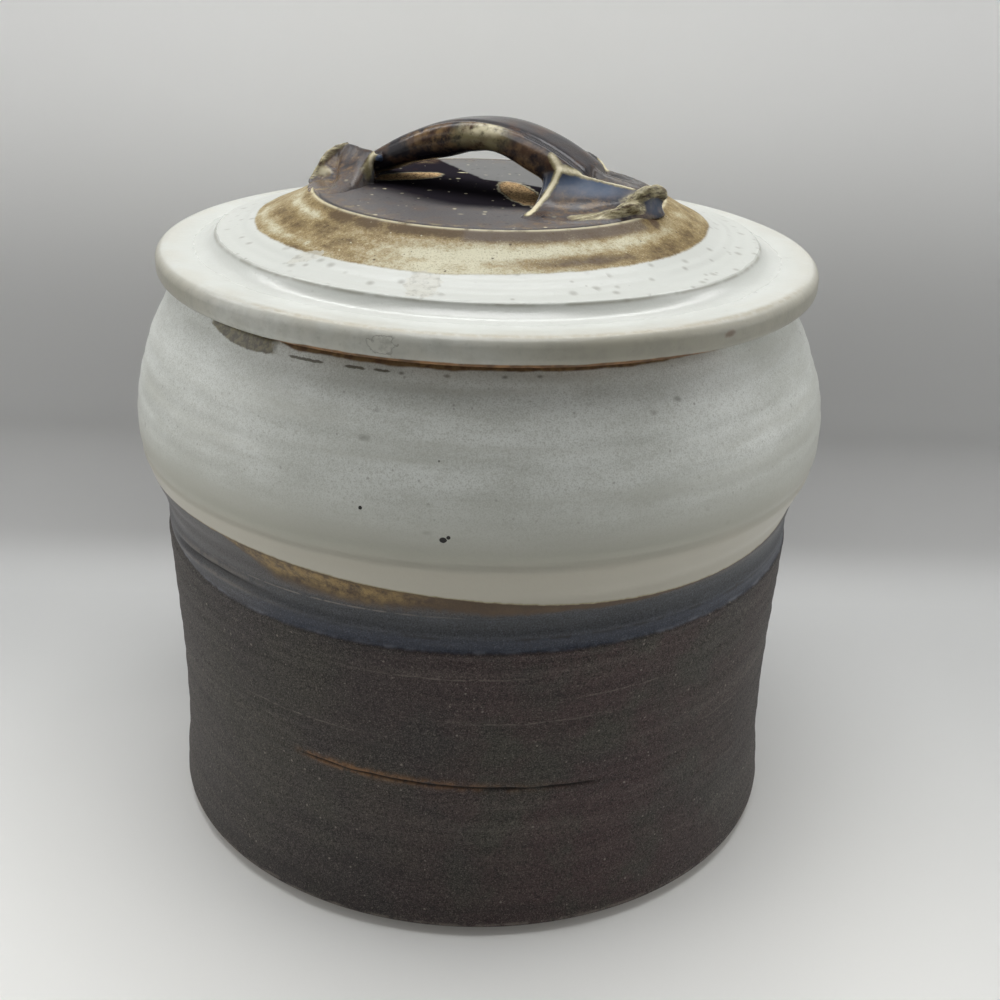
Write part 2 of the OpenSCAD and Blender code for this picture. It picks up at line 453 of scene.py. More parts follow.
# %% Throw the ring
ring_round = 2.2
ring_steps = 192
ring_outline = (
    [(ring_bore_r, jar_h)]
    + arc(ring_bore_r + ring_round, ring_bottom_z + ring_round, ring_round, 180, 270, 6)
    + arc(ring_r - ring_round, ring_bottom_z + ring_round, ring_round, 270, 360, 6)
    + [(ring_r, jar_h), (ring_bore_r, jar_h)]
)
ring = throw("locating_ring", ring_outline, ring_steps)
ring_points = places(ring)
ring_points[:, 0] += lid_shift
move(ring, settle(ring_points))
tell(ring)

# %% [markdown]
# ## The strap handle
# The real strap was pulled from a lump of clay, arched over the flat, and thumbed down at both ends until
# the clay spread into a thin apron with a torn lip. One swept tube would meet the flat like a pipe. So it
# is made of soft pieces: an arched tube, two pressed ends, the rolls of their torn lips and a drop of
# glaze. These are then remeshed into one skin, as clay joins when it is pressed. `u` runs along the strap,
# `v` across it towards the back, and `h` is the height above the flat.

# %% Lay a sheet of clay and shape it
handle_turn = math.radians(27)


def on_flat(u, v, h):
    """A place on the handle as a place in the frame."""
    x = lid_shift + u * math.cos(handle_turn) + v * math.sin(handle_turn)
    y = -u * math.sin(handle_turn) + v * math.cos(handle_turn)
    return np.stack([x, y, flat_z + h], 1)


def on_flat_one(u, v, h):
    """One place on the handle or the flat."""
    return on_flat(np.array([u]), np.array([v]), np.array([h]))[0]


def off_flat(points):
    """The way back from a place in the frame to u, v and h."""
    x = points[:, 0] - lid_shift
    u = x * math.cos(handle_turn) - points[:, 1] * math.sin(handle_turn)
    v = x * math.sin(handle_turn) + points[:, 1] * math.cos(handle_turn)
    return u, v, points[:, 2] - flat_z


def press(name, columns, rows, shape):
    """A grid of faces whose two sides run from 0 to 1, put in place by a shape and closed into a solid."""
    bpy.ops.object.select_all(action="DESELECT")
    bpy.ops.mesh.primitive_grid_add(x_subdivisions=columns, y_subdivisions=rows, size=1)
    piece = bpy.context.object
    piece.name = name
    share = places(piece)[:, :2] * MM + 0.5
    move(piece, on_flat(*shape(share[:, 0], share[:, 1])))
    bpy.ops.object.mode_set(mode="EDIT")
    bpy.ops.mesh.select_all(action="SELECT")
    bpy.ops.mesh.remove_doubles(threshold=0.01 * MM)
    bpy.ops.mesh.fill_holes(sides=0)
    bpy.ops.mesh.normals_make_consistent(inside=False)
    bpy.ops.object.mode_set(mode="OBJECT")
    tell(piece)
    return piece


# %% [markdown]
# The strap is a tube: its section is a rounded oblong with a bead along the front edge and a groove behind
# the bead, left by the potter's finger, and it follows an arch that leaves room for two or three fingers.
# The arch is steeper on the right than on the left, so its underside is a line of places along and above
# the flat.

# %% Arch the strap
under_line = [
    (-46, -1), (-42.5, 1), (-38, 2.2), (-34.4, 3.1), (-25.9, 6.5), (-19.1, 8.3), (-11.3, 10.3),
    (-4.4, 12.5), (2.7, 13.6), (6.3, 13.5), (9.9, 12.5), (13.4, 11), (17, 9.2), (20.9, 7.5),
    (26, 5.2), (32, 1.5), (38, -1.5),
]
foot_reach = 38
crest_h = 9.4
strap_half = 12.6
strap_ends = (-45, 40)
left_fall = 0.75
right_fall = 1.6
right_fall_u = 36
front_power = 2.7
back_power = 4


def strap_top(u):
    arch = mix(crown_h - 0.3, crest_h + 1, part_way(np.abs(u), 0, foot_reach) ** 2)
    past_left = np.maximum(-u - foot_reach, 0)
    past_right = np.maximum(u - right_fall_u, 0)
    return arch - left_fall * past_left - right_fall * past_right


def strap_under(u):
    return np.interp(u, *np.array(under_line).T)


def strap_shape(along, round_it):
    u = mix(*strap_ends, along)
    angle = 2 * np.pi * round_it
    power = np.where(np.cos(angle) > 0, back_power, front_power)
    side = np.sign(np.cos(angle)) * np.abs(np.cos(angle)) ** (2 / power)
    up = np.sign(np.sin(angle)) * np.abs(np.sin(angle)) ** (2 / power)
    top, under = strap_top(u), strap_under(u)
    half = strap_half * (1 - 0.10 * ease(part_way(-u, 18, 38)) - 0.04 * ease(part_way(u, 18, 38)))
    v = half * side - 0.3
    h = (top + under) / 2 + up * (top - under) / 2
    above = part_way(up, 0.2, 0.8)
    front_bead = 0.55 * bell(v, -9.6, 2.4)
    groove = 0.75 * bell(v, -6.2, 1.3)
    back_fall = 0.5 * part_way(v, 2, 12) * part_way(u, 24, 0)
    h += above * (front_bead - groove - back_fall)
    return u, v, h


strap = press("strap_handle", 120, 72, strap_shape)

# %% [markdown]
# Each pressed end is a fan of clay. Ridges run through it where the thumb left clay standing: a crest that
# goes on from the strap, a web at the inner side, and a torn lip at the outer side. Each ridge is a line of
# places, and the clay falls away from it in a hollow curve, as it does beside a thumb. At its edge the fan
# thins out to nothing: each ridge comes with the millimetres of its fall and the share of the way out from
# which it tapers off.

# %% Press the two ends
right_crest = [
    (20, -10.5, 18.6), (22.6, -10, 17.6), (26.9, -10.3, 14.6), (30.6, -12, 12.2), (34.8, -10, 10.9),
    (39.1, -8, 10), (43.3, -6, 9), (47.5, -4, 8.2), (51.1, -2.5, 7.3), (56, -2, 6.2),
]
right_web = [(30.6, -12, 12.2), (30.2, -14.5, 9), (29.2, -17.5, 6.3), (28.2, -22, 3.3), (28.4, -29.3, 0)]
right_back = [
    (27, 10.5, 16), (31, 11, 14.2), (34.4, 11.3, 12.3), (37, 10.5, 9.4), (44, 9.5, 8.6),
    (51, 7, 7.4), (56, 4.5, 6.2),
]
right_mid = [(34, 2, 12), (40, 2, 9.6), (46, 1.5, 8.6), (52, 1.5, 7.4), (56, 1, 6.4)]
right_edge = [
    (24.5, -32), (33, -35), (40, -33), (46, -29.5), (51, -25), (54, -17), (56.6, -11.5), (58.8, -6.6),
    (60.6, -2.5), (60.8, 2.5), (58, 7), (52, 13), (45, 19.5), (36, 21), (30, 18), (27, 8),
    (25, -4), (24, -14), (25, -23),
]
right_middle = (40, -6)
left_crest = [
    (-31, -11.5, 13.2), (-37, -12, 10.6), (-42.5, -10, 10.5), (-47.7, -8, 10.9), (-50.4, -7, 10.8),
    (-53.2, -8.5, 9.2), (-54.6, -12, 7.4), (-55.2, -15, 5.2), (-56, -16.8, 2.6), (-56, -18.5, 0.5),
]
left_web = [(-35.7, -13.4, 11), (-36.6, -14, 7), (-37.3, -15, 3.5), (-38, -17.5, 0)]
left_back = [(-30, 11, 14), (-35, 10.5, 10.5), (-40, 9, 7.6), (-45, 5, 6.6), (-50, 0, 7)]
left_edge = [
    (-36.3, -18), (-36, -27), (-36, -36), (-39, -40), (-45, -37.5), (-51, -30), (-55.4, -22.5), (-57, -16),
    (-57.4, -8), (-56.8, 0), (-53, 9), (-48, 15), (-44, 15), (-42.5, 10), (-42, 0), (-40.5, -7),
    (-36.5, -11.5), (-35.3, -13.5),
]
left_middle = (-46, -9)
apron_t = 1.0
apron_dip = -0.35
apron_thins_from = 0.45
edge_share = 0.94
drop_share = 0.97
ridge_round = 0.8
sunk = 1.5


def beside(u, v, path):
    """Distance from each place to a line of places, and the line's height there."""
    near = np.full(u.shape, 1e9)
    tall = np.zeros(u.shape)
    for (u0, v0, h0), (u1, v1, h1) in zip(path, path[1:]):
        along = ((u - u0) * (u1 - u0) + (v - v0) * (v1 - v0)) / ((u1 - u0) ** 2 + (v1 - v0) ** 2)
        along = np.clip(along, 0, 1)
        gap = np.hypot(u - mix(u0, u1, along), v - mix(v0, v1, along))
        tall = np.where(gap < near, mix(h0, h1, along), tall)
        near = np.minimum(near, gap)
    return near, tall


def reach(edge, middle, angle):
    """Distance from the middle of a pressed end to its edge, in each direction."""
    places_round = np.array(edge) - middle
    way = np.arctan2(places_round[:, 1], places_round[:, 0])
    order = np.argsort(way)
    return np.interp(angle, way[order], np.hypot(*places_round.T)[order], period=2 * np.pi)


def pressed_end(edge, middle, ridges):
    """The shape of one pressed end: rings that grow to its edge, then a short drop into the flat."""
    def shape(along, round_it):
        angle = 2 * np.pi * round_it
        out = np.minimum(along / edge_share, 1)
        far = reach(edge, middle, angle) * out
        u = middle[0] + far * np.cos(angle)
        v = middle[1] + far * np.sin(angle)
        thin = mix(apron_t, apron_dip, part_way(out, apron_thins_from, 1))
        h = thin
        for path, fall, taper in ridges:
            near, tall = beside(u, v, path)
            gap = np.sqrt(near**2 + ridge_round**2) - ridge_round
            standing = (tall - thin) * np.exp(-gap / fall) * ease(part_way(out, 1, taper))
            h = np.maximum(h, thin + standing)
        return u, v, np.where(along > drop_share, -sunk, h)
    return shape


right_ridges = [
    (right_crest, 6, 0.85), (right_web, 2.2, 0.88), (right_back, 6, 0.85), (right_mid, 12, 0.85),
]
left_ridges = [(left_crest, 6.5, 0.86), (left_web, 2.4, 0.88), (left_back, 5.0, 0.8)]
right_end = press("right_end", 44, 150, pressed_end(right_edge, right_middle, right_ridges))
left_end = press("left_end", 44, 150, pressed_end(left_edge, left_middle, left_ridges))

# %% [markdown]
# The torn lips are rolls of clay that the thumb pushed up and tore: tubes along a wandering line, each as
# thick as it is at that place. On the right one roll lies low along the edge and another climbs over its
# end. A drop of glaze hangs at the foot of the strap on the left.

# %% Roll the torn lips and hang the drop
low_roll = [
    (42.6, -26.3, 0.1, 0.5), (45.8, -23.2, 0.6, 0.7), (48.4, -20.4, 1.1, 1.0), (51.4, -16.6, 2.0, 1.5),
    (53.6, -13, 2.9, 2.0), (55, -10.4, 3.1, 1.9), (56.2, -8.4, 2.6, 1.3),
]
high_roll = [
    (52.6, -8.4, 3.6, 1.2), (53.8, -6.6, 4.9, 1.9), (55.4, -4.8, 6.2, 2.0), (57, -2.6, 6.9, 1.9),
    (58.2, -0.2, 6.8, 2.0), (59, 2, 5.8, 2.2), (59.4, 3.6, 4.4, 1.6),
]
left_roll = [
    (-50.4, -6.4, 10.4, 0.9), (-53.2, -8.5, 9.2, 1.1), (-54.8, -12, 7.5, 1.2), (-55.4, -15, 5.3, 1.2),
    (-56.3, -16.8, 2.8, 1.1), (-56.4, -19, 0.8, 1.0), (-55.2, -23, -0.2, 0.6),
]
web_roll = [
    (-35.5, -13, 11.6, 0.7), (-36.4, -13.8, 7.4, 0.85), (-37.2, -15, 3.6, 0.95), (-38, -17.6, 0, 0.8),
]


def roll(line):
    """An uneven tube that follows a line of places, each with its height and thickness."""
    stops = np.linspace(0, 1, len(line))
    u0, v0, h0, thick = np.array(line).T

    def shape(along, round_it):
        angle = 2 * np.pi * round_it
        radius = np.interp(along, stops, thick) * (1 + 0.07 * ripple(along * 500, angle * 3, 24, 14, 4, 9))
        u, v, h = (np.interp(along, stops, row) for row in (u0, v0, h0))
        across = np.arctan2(np.interp(along + 0.02, stops, v0) - v, np.interp(along + 0.02, stops, u0) - u)
        u = u - radius * np.cos(angle) * np.sin(across)
        v = v + radius * np.cos(angle) * np.cos(across)
        return u, v, h + radius * np.sin(angle)
    return shape


low_lip = press("low_lip", 60, 24, roll(low_roll))
high_lip = press("high_lip", 60, 24, roll(high_roll))
left_lip = press("left_lip", 60, 24, roll(left_roll))
left_rib = press("left_rib", 60, 24, roll(web_roll))

bead_place = (-34.2, -13.2, 8.6)
bead_r = 1.2
bpy.ops.object.select_all(action="DESELECT")
bpy.ops.mesh.primitive_uv_sphere_add(segments=24, ring_count=12, radius=bead_r * MM)
bead = bpy.context.object
bead.name = "glaze_bead"
bead.location = on_flat_one(*bead_place) * MM
bpy.ops.object.transform_apply(location=True, rotation=False, scale=False)

# %% [markdown]
# The pieces are joined and remeshed into one skin of even faces. A short smoothing rounds what the fingers
# would have rounded, and a long one calms the wall under the right end of the arch.

# %% Join the clay into one skin
skin_size = 0.55
short_smoothing = 5
long_smoothing = 40
calm_from_u = (18, 20)
calm_to_u = (27.5, 26)
calm_below_h = (10, 8)
bpy.ops.object.select_all(action="DESELECT")
for part in (right_end, left_end, low_lip, high_lip, left_lip, left_rib, bead, strap):
    part.select_set(True)
bpy.context.view_layer.objects.active = strap
bpy.ops.object.join()
skin = strap.modifiers.new("one_skin", "REMESH")
skin.mode = "VOXEL"
skin.voxel_size = skin_size * MM
bpy.ops.object.modifier_apply(modifier=skin.name)
tell(strap)


def neighbours(piece):
    pairs = np.zeros(2 * len(piece.data.edges), int)
    piece.data.edges.foreach_get("vertices", pairs)
    return pairs.reshape(-1, 2)


def soften(values, pairs, rounds):
    """Each vertex moves to the mean of its neighbours, a number of times."""
    count = np.bincount(pairs.ravel(), minlength=len(values))[:, None]
    for _ in range(rounds):
        total = np.zeros_like(values)
        for column in range(values.shape[1]):
            total[:, column] += np.bincount(pairs[:, 0], values[pairs[:, 1], column], len(values))
            total[:, column] += np.bincount(pairs[:, 1], values[pairs[:, 0], column], len(values))
        values = 0.5 * values + 0.5 * total / count
    return values


def facing(piece):
    """Normals of the vertices."""
    flat = np.zeros(3 * len(piece.data.vertices), np.float32)
    piece.data.vertex_normals.foreach_get("vector", flat)
    return flat.reshape(-1, 3)


pairs = neighbours(strap)
skin_points = soften(places(strap), pairs, short_smoothing)
u, v, h = off_flat(skin_points)
calmed = part_way(u, *calm_to_u) * part_way(u, *calm_from_u) * part_way(h, *calm_below_h)
skin_points = mix(skin_points, soften(skin_points, pairs, long_smoothing), calmed[:, None])
move(strap, skin_points)

# %% [markdown]
# Torn clay is ragged: the lips are roughened by a ripple along their length, and the whole strap gets the
# slight unevenness of a hand-pulled thing. Three numbers are kept for the material: how proud the skin
# stands, how near it is to a thumbed ridge, and how torn it is. The difference between a smoothed skin and
# the skin itself tells how proud it stands: a runny glaze leaves the proud places and pools in the hollow
# ones.

# %% Tear the lips, roughen the strap and mark its ridges
u, v, h = off_flat(skin_points)
torn = np.zeros(len(h))
above_flat = part_way(h, 0.2, 1.0)
for line, strength, width in ((low_roll, 1.0, 2.2), (high_roll, 1.0, 2.4), (left_roll, 0.6, 1.6)):
    near, tall = beside(u, v, [place[:3] for place in line])
    torn = np.maximum(torn, strength * bell(near, 0, width) * above_flat * part_way(h - tall, -2.6, -1.0))
ragged = 0.55 * ripple(u * 9, v * 3, 21, 24, 6, 9) + 0.4 * ripple(v * 14, u * 3 + h, 22, 24, 6, 6)
uneven = 0.10 * ripple(u * 3, v, 23, 16, 3, 14) * part_way(h, 0.3, 1.5)
skin_points = skin_points + facing(strap) * (torn * ragged * 0.12 + uneven)[:, None]
skin_points[:, 2] = np.minimum(skin_points[:, 2], flat_z + crown_h - 0.05)
move(strap, skin_points)

u, v, h = off_flat(skin_points)
ridge = np.zeros(len(h))
for path, strength, width in (
    (right_web, 1.0, 1.2),
    (left_web, 1.0, 1.3),
    (right_crest[2:-1], 0.75, 1.2),
    (right_back[2:4], 0.9, 1.2),
):
    near, tall = beside(u, v, path)
    ridge = np.maximum(ridge, strength * bell(near, 0, width) * bell(h - tall, 0, 4.5))
smoothed = soften(skin_points, pairs, long_smoothing)
proud = ((skin_points - smoothed) * facing(strap)).sum(1) * part_way(h, 0.6, 2)
paint(strap, "proud", soften(proud[:, None], pairs, 3)[:, 0])
paint(strap, "ridge", ridge)
paint(strap, "torn", torn)
move(strap, settle(skin_points))
bpy.ops.object.select_all(action="DESELECT")
strap.select_set(True)
bpy.ops.object.shade_smooth()
print("proud from", np.percentile(proud, 1).round(2), "to", np.percentile(proud, 99).round(2))
tell(strap)

# %% [markdown]
# ## Writing a material as sums
# A finish is a set of masks and colours. To read them as sums, a small class wraps one output socket, and
# its operators add Math nodes. Every other kind of node comes from one method: its type, its settings, its
# sockets.

# %% A socket that can be added and multiplied


class Wire:
    """One output socket of a material's nodes."""

    def __init__(self, tree, socket):
        self.tree = tree
        self.socket = socket

    def node(self, kind, settings=(), sockets=(), out=0):
        """Adds a node, sets it up, and feeds each named socket with a value or with another wire."""
        made = self.tree.nodes.new(kind)
        for name, value in dict(settings).items():
            setattr(made, name, value)
        for name, value in dict(sockets).items():
            if isinstance(value, Wire):
                self.tree.links.new(value.socket, made.inputs[name])
            else:
                made.inputs[name].default_value = value
        return Wire(self.tree, made.outputs[out]) if made.outputs else None

    def maths(self, operation, *others):
        return self.node("ShaderNodeMath", {"operation": operation}, dict(enumerate([self, *others])))

    def __add__(self, other):
        return self.maths("ADD", other)

    def __sub__(self, other):
        return self.maths("SUBTRACT", other)

    def __mul__(self, other):
        return self.maths("MULTIPLY", other)

    def __truediv__(self, other):
        return self.maths("DIVIDE", other)

    def __rsub__(self, other):
        return self * -1 + other

    __radd__ = __add__
    __rmul__ = __mul__

    def top(self, other):
        return self.maths("MAXIMUM", other)

    def limit(self):
        return self.node("ShaderNodeClamp", {}, {"Value": self})

    def rise(self, low, high):
        """0 below low, 1 above high and a soft curve between them. With high under low it falls instead."""
        ends = {"Value": self, "From Min": low, "From Max": high, "To Min": 0.0, "To Max": 1.0}
        return self.node("ShaderNodeMapRange", {"interpolation_type": "SMOOTHSTEP"}, ends)

    def bell(self, centre, width):
        away = (self - centre) / width
        return (away * away * -1).maths("EXPONENT")

    def tint(self, below, above):
        """A colour that goes from below to above as this mask goes from 0 to 1."""
        return self.node("ShaderNodeMix", {"data_type": "RGBA"}, {0: self, 6: below, 7: above}, 2)


def rgb(red, green, blue):
    return (red, green, blue, 1.0)


# %% [markdown]
# Two patterns do most of the work: a cloudy noise, and specks. Specks are the cells of a Voronoi texture,
# of which only a share is kept, each with its own size. Both read Object coordinates, and sizes are in
# millimetres.

# %% Cloud, specks and patches


def new_finish(name):
    """An empty material and the wire of its Object coordinates."""
    material = bpy.data.materials.new(name)
    material.use_nodes = True
    material.node_tree.nodes.clear()
    start = Wire(material.node_tree, None)
    return material, start.node("ShaderNodeTexCoord", out="Object")


def kept(here, name):
    """The numbers that were painted on the mesh under a name."""
    return here.node("ShaderNodeAttribute", {"attribute_name": name}, {}, "Fac")


def any_of(masks):
    """The strongest of some masks at each place."""
    strongest = masks[0]
    for mask in masks[1:]:
        strongest = strongest.top(mask)
    return strongest


def split(wire):
    """The three parts of a vector, in millimetres."""
    made = wire.node("ShaderNodeSeparateXYZ", {}, {0: wire})
    parts = [Wire(made.tree, socket) for socket in made.socket.node.outputs]
    return [part * (1 / MM) for part in parts]


def cloud(here, size, detail=3.0, rough=0.55, stretch=(1, 1, 1)):
    """Cloudy noise from 0 to 1 with lumps of a size, which may be stretched along an axis."""
    place = here.node("ShaderNodeMapping", {}, {0: here, "Scale": stretch})
    sockets = {"Vector": place, "Scale": 1 / (size * MM), "Detail": detail, "Roughness": rough}
    return here.node("ShaderNodeTexNoise", {}, sockets, "Fac")


def swirl(here, out, x, y, squeeze):
    """Coordinates for streaks that run round the axis: lumps get narrow across and stay long round it."""
    round_r = 66 * MM
    parts = {"X": out * (MM * squeeze), "Y": x / out * round_r, "Z": y / out * round_r}
    return here.node("ShaderNodeCombineXYZ", {}, parts)


def specks(here, spacing, radius, share, soft=0.35):
    """Round specks: one in each cell at most, and only in a share of the cells."""
    cells = here.node("ShaderNodeTexVoronoi", {}, {"Vector": here, "Scale": 1 / (spacing * MM)}, "Distance")
    chance = Wire(here.tree, cells.socket.node.outputs["Color"])
    draw = here.node("ShaderNodeSeparateColor", {}, {0: chance}, 0)
    size = Wire(here.tree, draw.socket.node.outputs[1]) * (radius / spacing) * 0.8 + 0.2 * radius / spacing
    inside_it = (cells / size).rise(1 + soft, 1 - soft)
    return inside_it * draw.rise(share + 0.001, share - 0.001)


def patch(here, centre, size, turn=0.0, ragged=0.0, lumps=4, soft=0.08):
    """A mask that is 1 in a rounded patch with uneven edges: its centre and half sizes in millimetres."""
    sockets = {0: here, "Location": np.array(centre) * MM, "Scale": np.array(size) * MM}
    sockets["Rotation"] = (0, 0, math.radians(-turn))
    place = here.node("ShaderNodeMapping", {"vector_type": "TEXTURE"}, sockets)
    away = here.node("ShaderNodeVectorMath", {"operation": "LENGTH"}, {0: place}, "Value")
    away = away + (cloud(here, lumps) - 0.5) * ragged
    return away.rise(1 + soft, 1 - soft)


def shade(here, colour, rough, relief, depth, specular=0.5):
    """A Principled shader: what varies goes through wires, and the specular level is set on its socket."""
    normal = here.node("ShaderNodeBump", {}, {"Height": relief, "Distance": depth * MM, "Strength": 1.0})
    sockets = {"Base Color": colour, "Roughness": rough, "Normal": normal, "Specular IOR Level": specular}
    return here.node("ShaderNodeBsdfPrincipled", {}, sockets)


def finish_with(material, shader):
    shader.node("ShaderNodeOutputMaterial", {}, {"Surface": shader})
    print(material.name, len(material.node_tree.nodes), "nodes")
    return material


# %% [markdown]
# ## The pale glaze
# The white glaze is a satin one over an iron-bearing body: it is never quite even, slightly green where it
# is thin, and iron burns through it as fine grey freckles and a few black specks. Noise and specks at
# several sizes give this without a seam, and they hold up close.

# %% Mix the pale glaze
glaze_white = rgb(0.72, 0.742, 0.708)
glaze_grey = rgb(0.56, 0.575, 0.535)
glaze_lid = rgb(0.52, 0.535, 0.50)
glaze_dim = rgb(0.42, 0.425, 0.375)
glaze_greyer = rgb(0.50, 0.505, 0.45)
glaze_cream = rgb(0.48, 0.452, 0.378)
# The next colour is painted shade, for the band just above the crease.
glaze_crease_shade = rgb(0.37, 0.36, 0.295)
iron_black = rgb(0.012, 0.010, 0.009)
freckle_grey = rgb(0.25, 0.245, 0.215)


def pale_glaze(here, dusty):
    """Colour and relief of the white glaze, with more or less dust in it."""
    drift = cloud(here, 7, 4, 0.6, (0.2, 0.2, 1.0))
    broad = cloud(here, 30, 3)
    grain = cloud(here, 1.3, 3, 0.7)
    dust = cloud(here, 0.42, 2, 0.6)
    colour = (broad * 0.4 + drift * 0.6).rise(0.38, 0.62).tint(glaze_white, glaze_grey)
    colour = (grain.rise(0.45, 0.72) * (0.40 * dusty)).tint(colour, glaze_dim)
    colour = (dust.rise(0.48, 0.70) * (0.60 * dusty)).tint(colour, glaze_dim)
    colour = (dust.rise(0.52, 0.30) * (0.50 * dusty)).tint(colour, glaze_white)
    freckles = specks(here, 2.3, 0.40, 0.34, 0.6) * 0.6
    colour = freckles.tint(colour, freckle_grey)
    drawn = here.node("ShaderNodeMapping", {}, {0: here, "Rotation": (0, 0, 0.6), "Scale": (0.45, 1, 1)})
    spots = specks(drawn, 6.0, 0.95, 0.20, 0.7) * 0.7
    colour = spots.tint(colour, freckle_grey)
    black = specks(here, 13.0, 0.75, 0.30, 0.3)
    colour = black.tint(colour, iron_black)
    relief = grain * 0.25 + cloud(here, 2.6, 3) * 0.3 + cloud(here, 16, 2) * 0.6 - black * 0.5
    return colour, relief


# %% [markdown]
# ## The jar's finish
# From top to bottom: bare toasted clay on the rim, the pale glaze, its crisp slanting edge, an ochre fringe
# where it ran thin over iron, a slate-blue band, and the bare wall. The bare wall comes first. It is
# charcoal with grog in it, redder to the right, so it is built up from broad tones to dust, and then the
# long marks and the crack.

# %% Colour the bare wall
clay_dark = rgb(0.048, 0.041, 0.040)
clay_brown = rgb(0.086, 0.077, 0.073)
clay_olive = rgb(0.062, 0.058, 0.047)
clay_purple = rgb(0.072, 0.041, 0.043)
clay_black = rgb(0.015, 0.013, 0.012)
clay_pale = rgb(0.25, 0.22, 0.185)
foot_olive = rgb(0.16, 0.12, 0.07)
rust = rgb(0.30, 0.15, 0.06)
toasted = rgb(0.34, 0.185, 0.085)
toasted_dark = rgb(0.13, 0.075, 0.040)
wall_streaks = ((88, 26, 9), (64, 49, 6), (96, -4, 16), (80, 10, 14), (73, -30, 12))


def bare_toasted(here):
    """Colour of unglazed clay that the flame has toasted."""
    colour = cloud(here, 4, 4).rise(0.35, 0.65).tint(toasted, toasted_dark)
    return (specks(here, 1.6, 0.35, 0.4) * 0.6).tint(colour, clay_pale)


def between(wire, low, high, soft):
    """A mask that is 1 from low to high, with soft ends."""
    return wire.rise(low - soft, low + soft) * wire.rise(high + soft, high - soft)


def bare_wall(here, turn, z):
    """Colour of the bare lower wall with its crack."""
    tone = cloud(here, 42, 3)
    clay = tone.rise(0.40, 0.62).tint(clay_dark, clay_olive)
    clay = (turn.maths("ABSOLUTE").rise(20, 75) * 0.9).tint(clay, clay_brown)
    red = cloud(here, 26, 4, 0.6).rise(0.36, 0.56) * turn.bell(20, 34)
    clay = (red * 0.9).tint(clay, clay_purple)
    rings = cloud(here, 8, 3, 0.6, (0.04, 0.04, 1.0))
    clay = (rings.rise(0.50, 0.30) * 0.35).tint(clay, clay_black)
    clay = (rings.rise(0.50, 0.72) * 0.16).tint(clay, clay_pale)
    lines = cloud(here, 1.7, 3, 0.6, (0.05, 0.05, 1.0))
    clay = (lines.rise(0.48, 0.26) * 0.30).tint(clay, clay_black)
    clay = (lines.rise(0.58, 0.78) * cloud(here, 14, 2).rise(0.4, 0.6) * 0.30).tint(clay, clay_pale)
    grain = cloud(here, 1.0, 3, 0.75)
    clay = (grain.rise(0.52, 0.30) * 0.90).tint(clay, clay_black)
    clay = (grain.rise(0.54, 0.78) * 0.42).tint(clay, clay_pale)
    dust = cloud(here, 0.40, 2, 0.6)
    clay = (dust.rise(0.52, 0.30) * 0.9).tint(clay, clay_black)
    clay = (dust.rise(0.53, 0.74) * 0.55).tint(clay, clay_pale)
    clay = (specks(here, 2.4, 0.42, 0.22) * 0.8).tint(clay, clay_pale)
    for height, centre, width in wall_streaks:
        mark = (z + (cloud(here, 9, 2) - 0.5) * 1.5).bell(height, 0.25) * turn.bell(centre, width)
        clay = (mark * cloud(here, 3, 2).rise(0.35, 0.55) * 0.45).tint(clay, clay_pale)
    crack_line = (turn - crack_middle) * crack_slope + crack_z
    in_crack = turn.rise(-32, -27) * turn.rise(26, 15)
    halo = (z - crack_line).bell(0.3, 1.5) * in_crack * turn.bell(-20, 24)
    halo = halo * cloud(here, 3, 3).rise(0.30, 0.60)
    clay = (halo * 0.8).tint(clay, rust)
    clay = ((z - crack_line).bell(0, 0.36) * in_crack).tint(clay, iron_black)
    arris = z.bell(4.8, 0.5) * cloud(here, 6, 3).rise(0.40, 0.58)
    clay = (arris * 0.55).tint(clay, clay_pale)
    return z.rise(3.8, 3.0).tint(clay, foot_olive)


# %% [markdown]
# Between the glaze and the bare wall a thin wash melted into a band, mauve above and navy below. It is
# pitted along a seam, and on the left a tool cut a gouge with pale lips. Above it hangs the ochre fringe,
# as deep as the glaze ran.

# %% Colour the melted band
fringe_ochre = rgb(0.32, 0.215, 0.082)
fringe_brown = rgb(0.075, 0.046, 0.024)
fringe_red = rgb(0.088, 0.055, 0.033)
band_mauve = rgb(0.080, 0.074, 0.073)
band_slate = rgb(0.048, 0.052, 0.060)
band_navy = rgb(0.026, 0.033, 0.054)
band_pale = rgb(0.17, 0.18, 0.21)
line_pale = rgb(0.26, 0.225, 0.19)


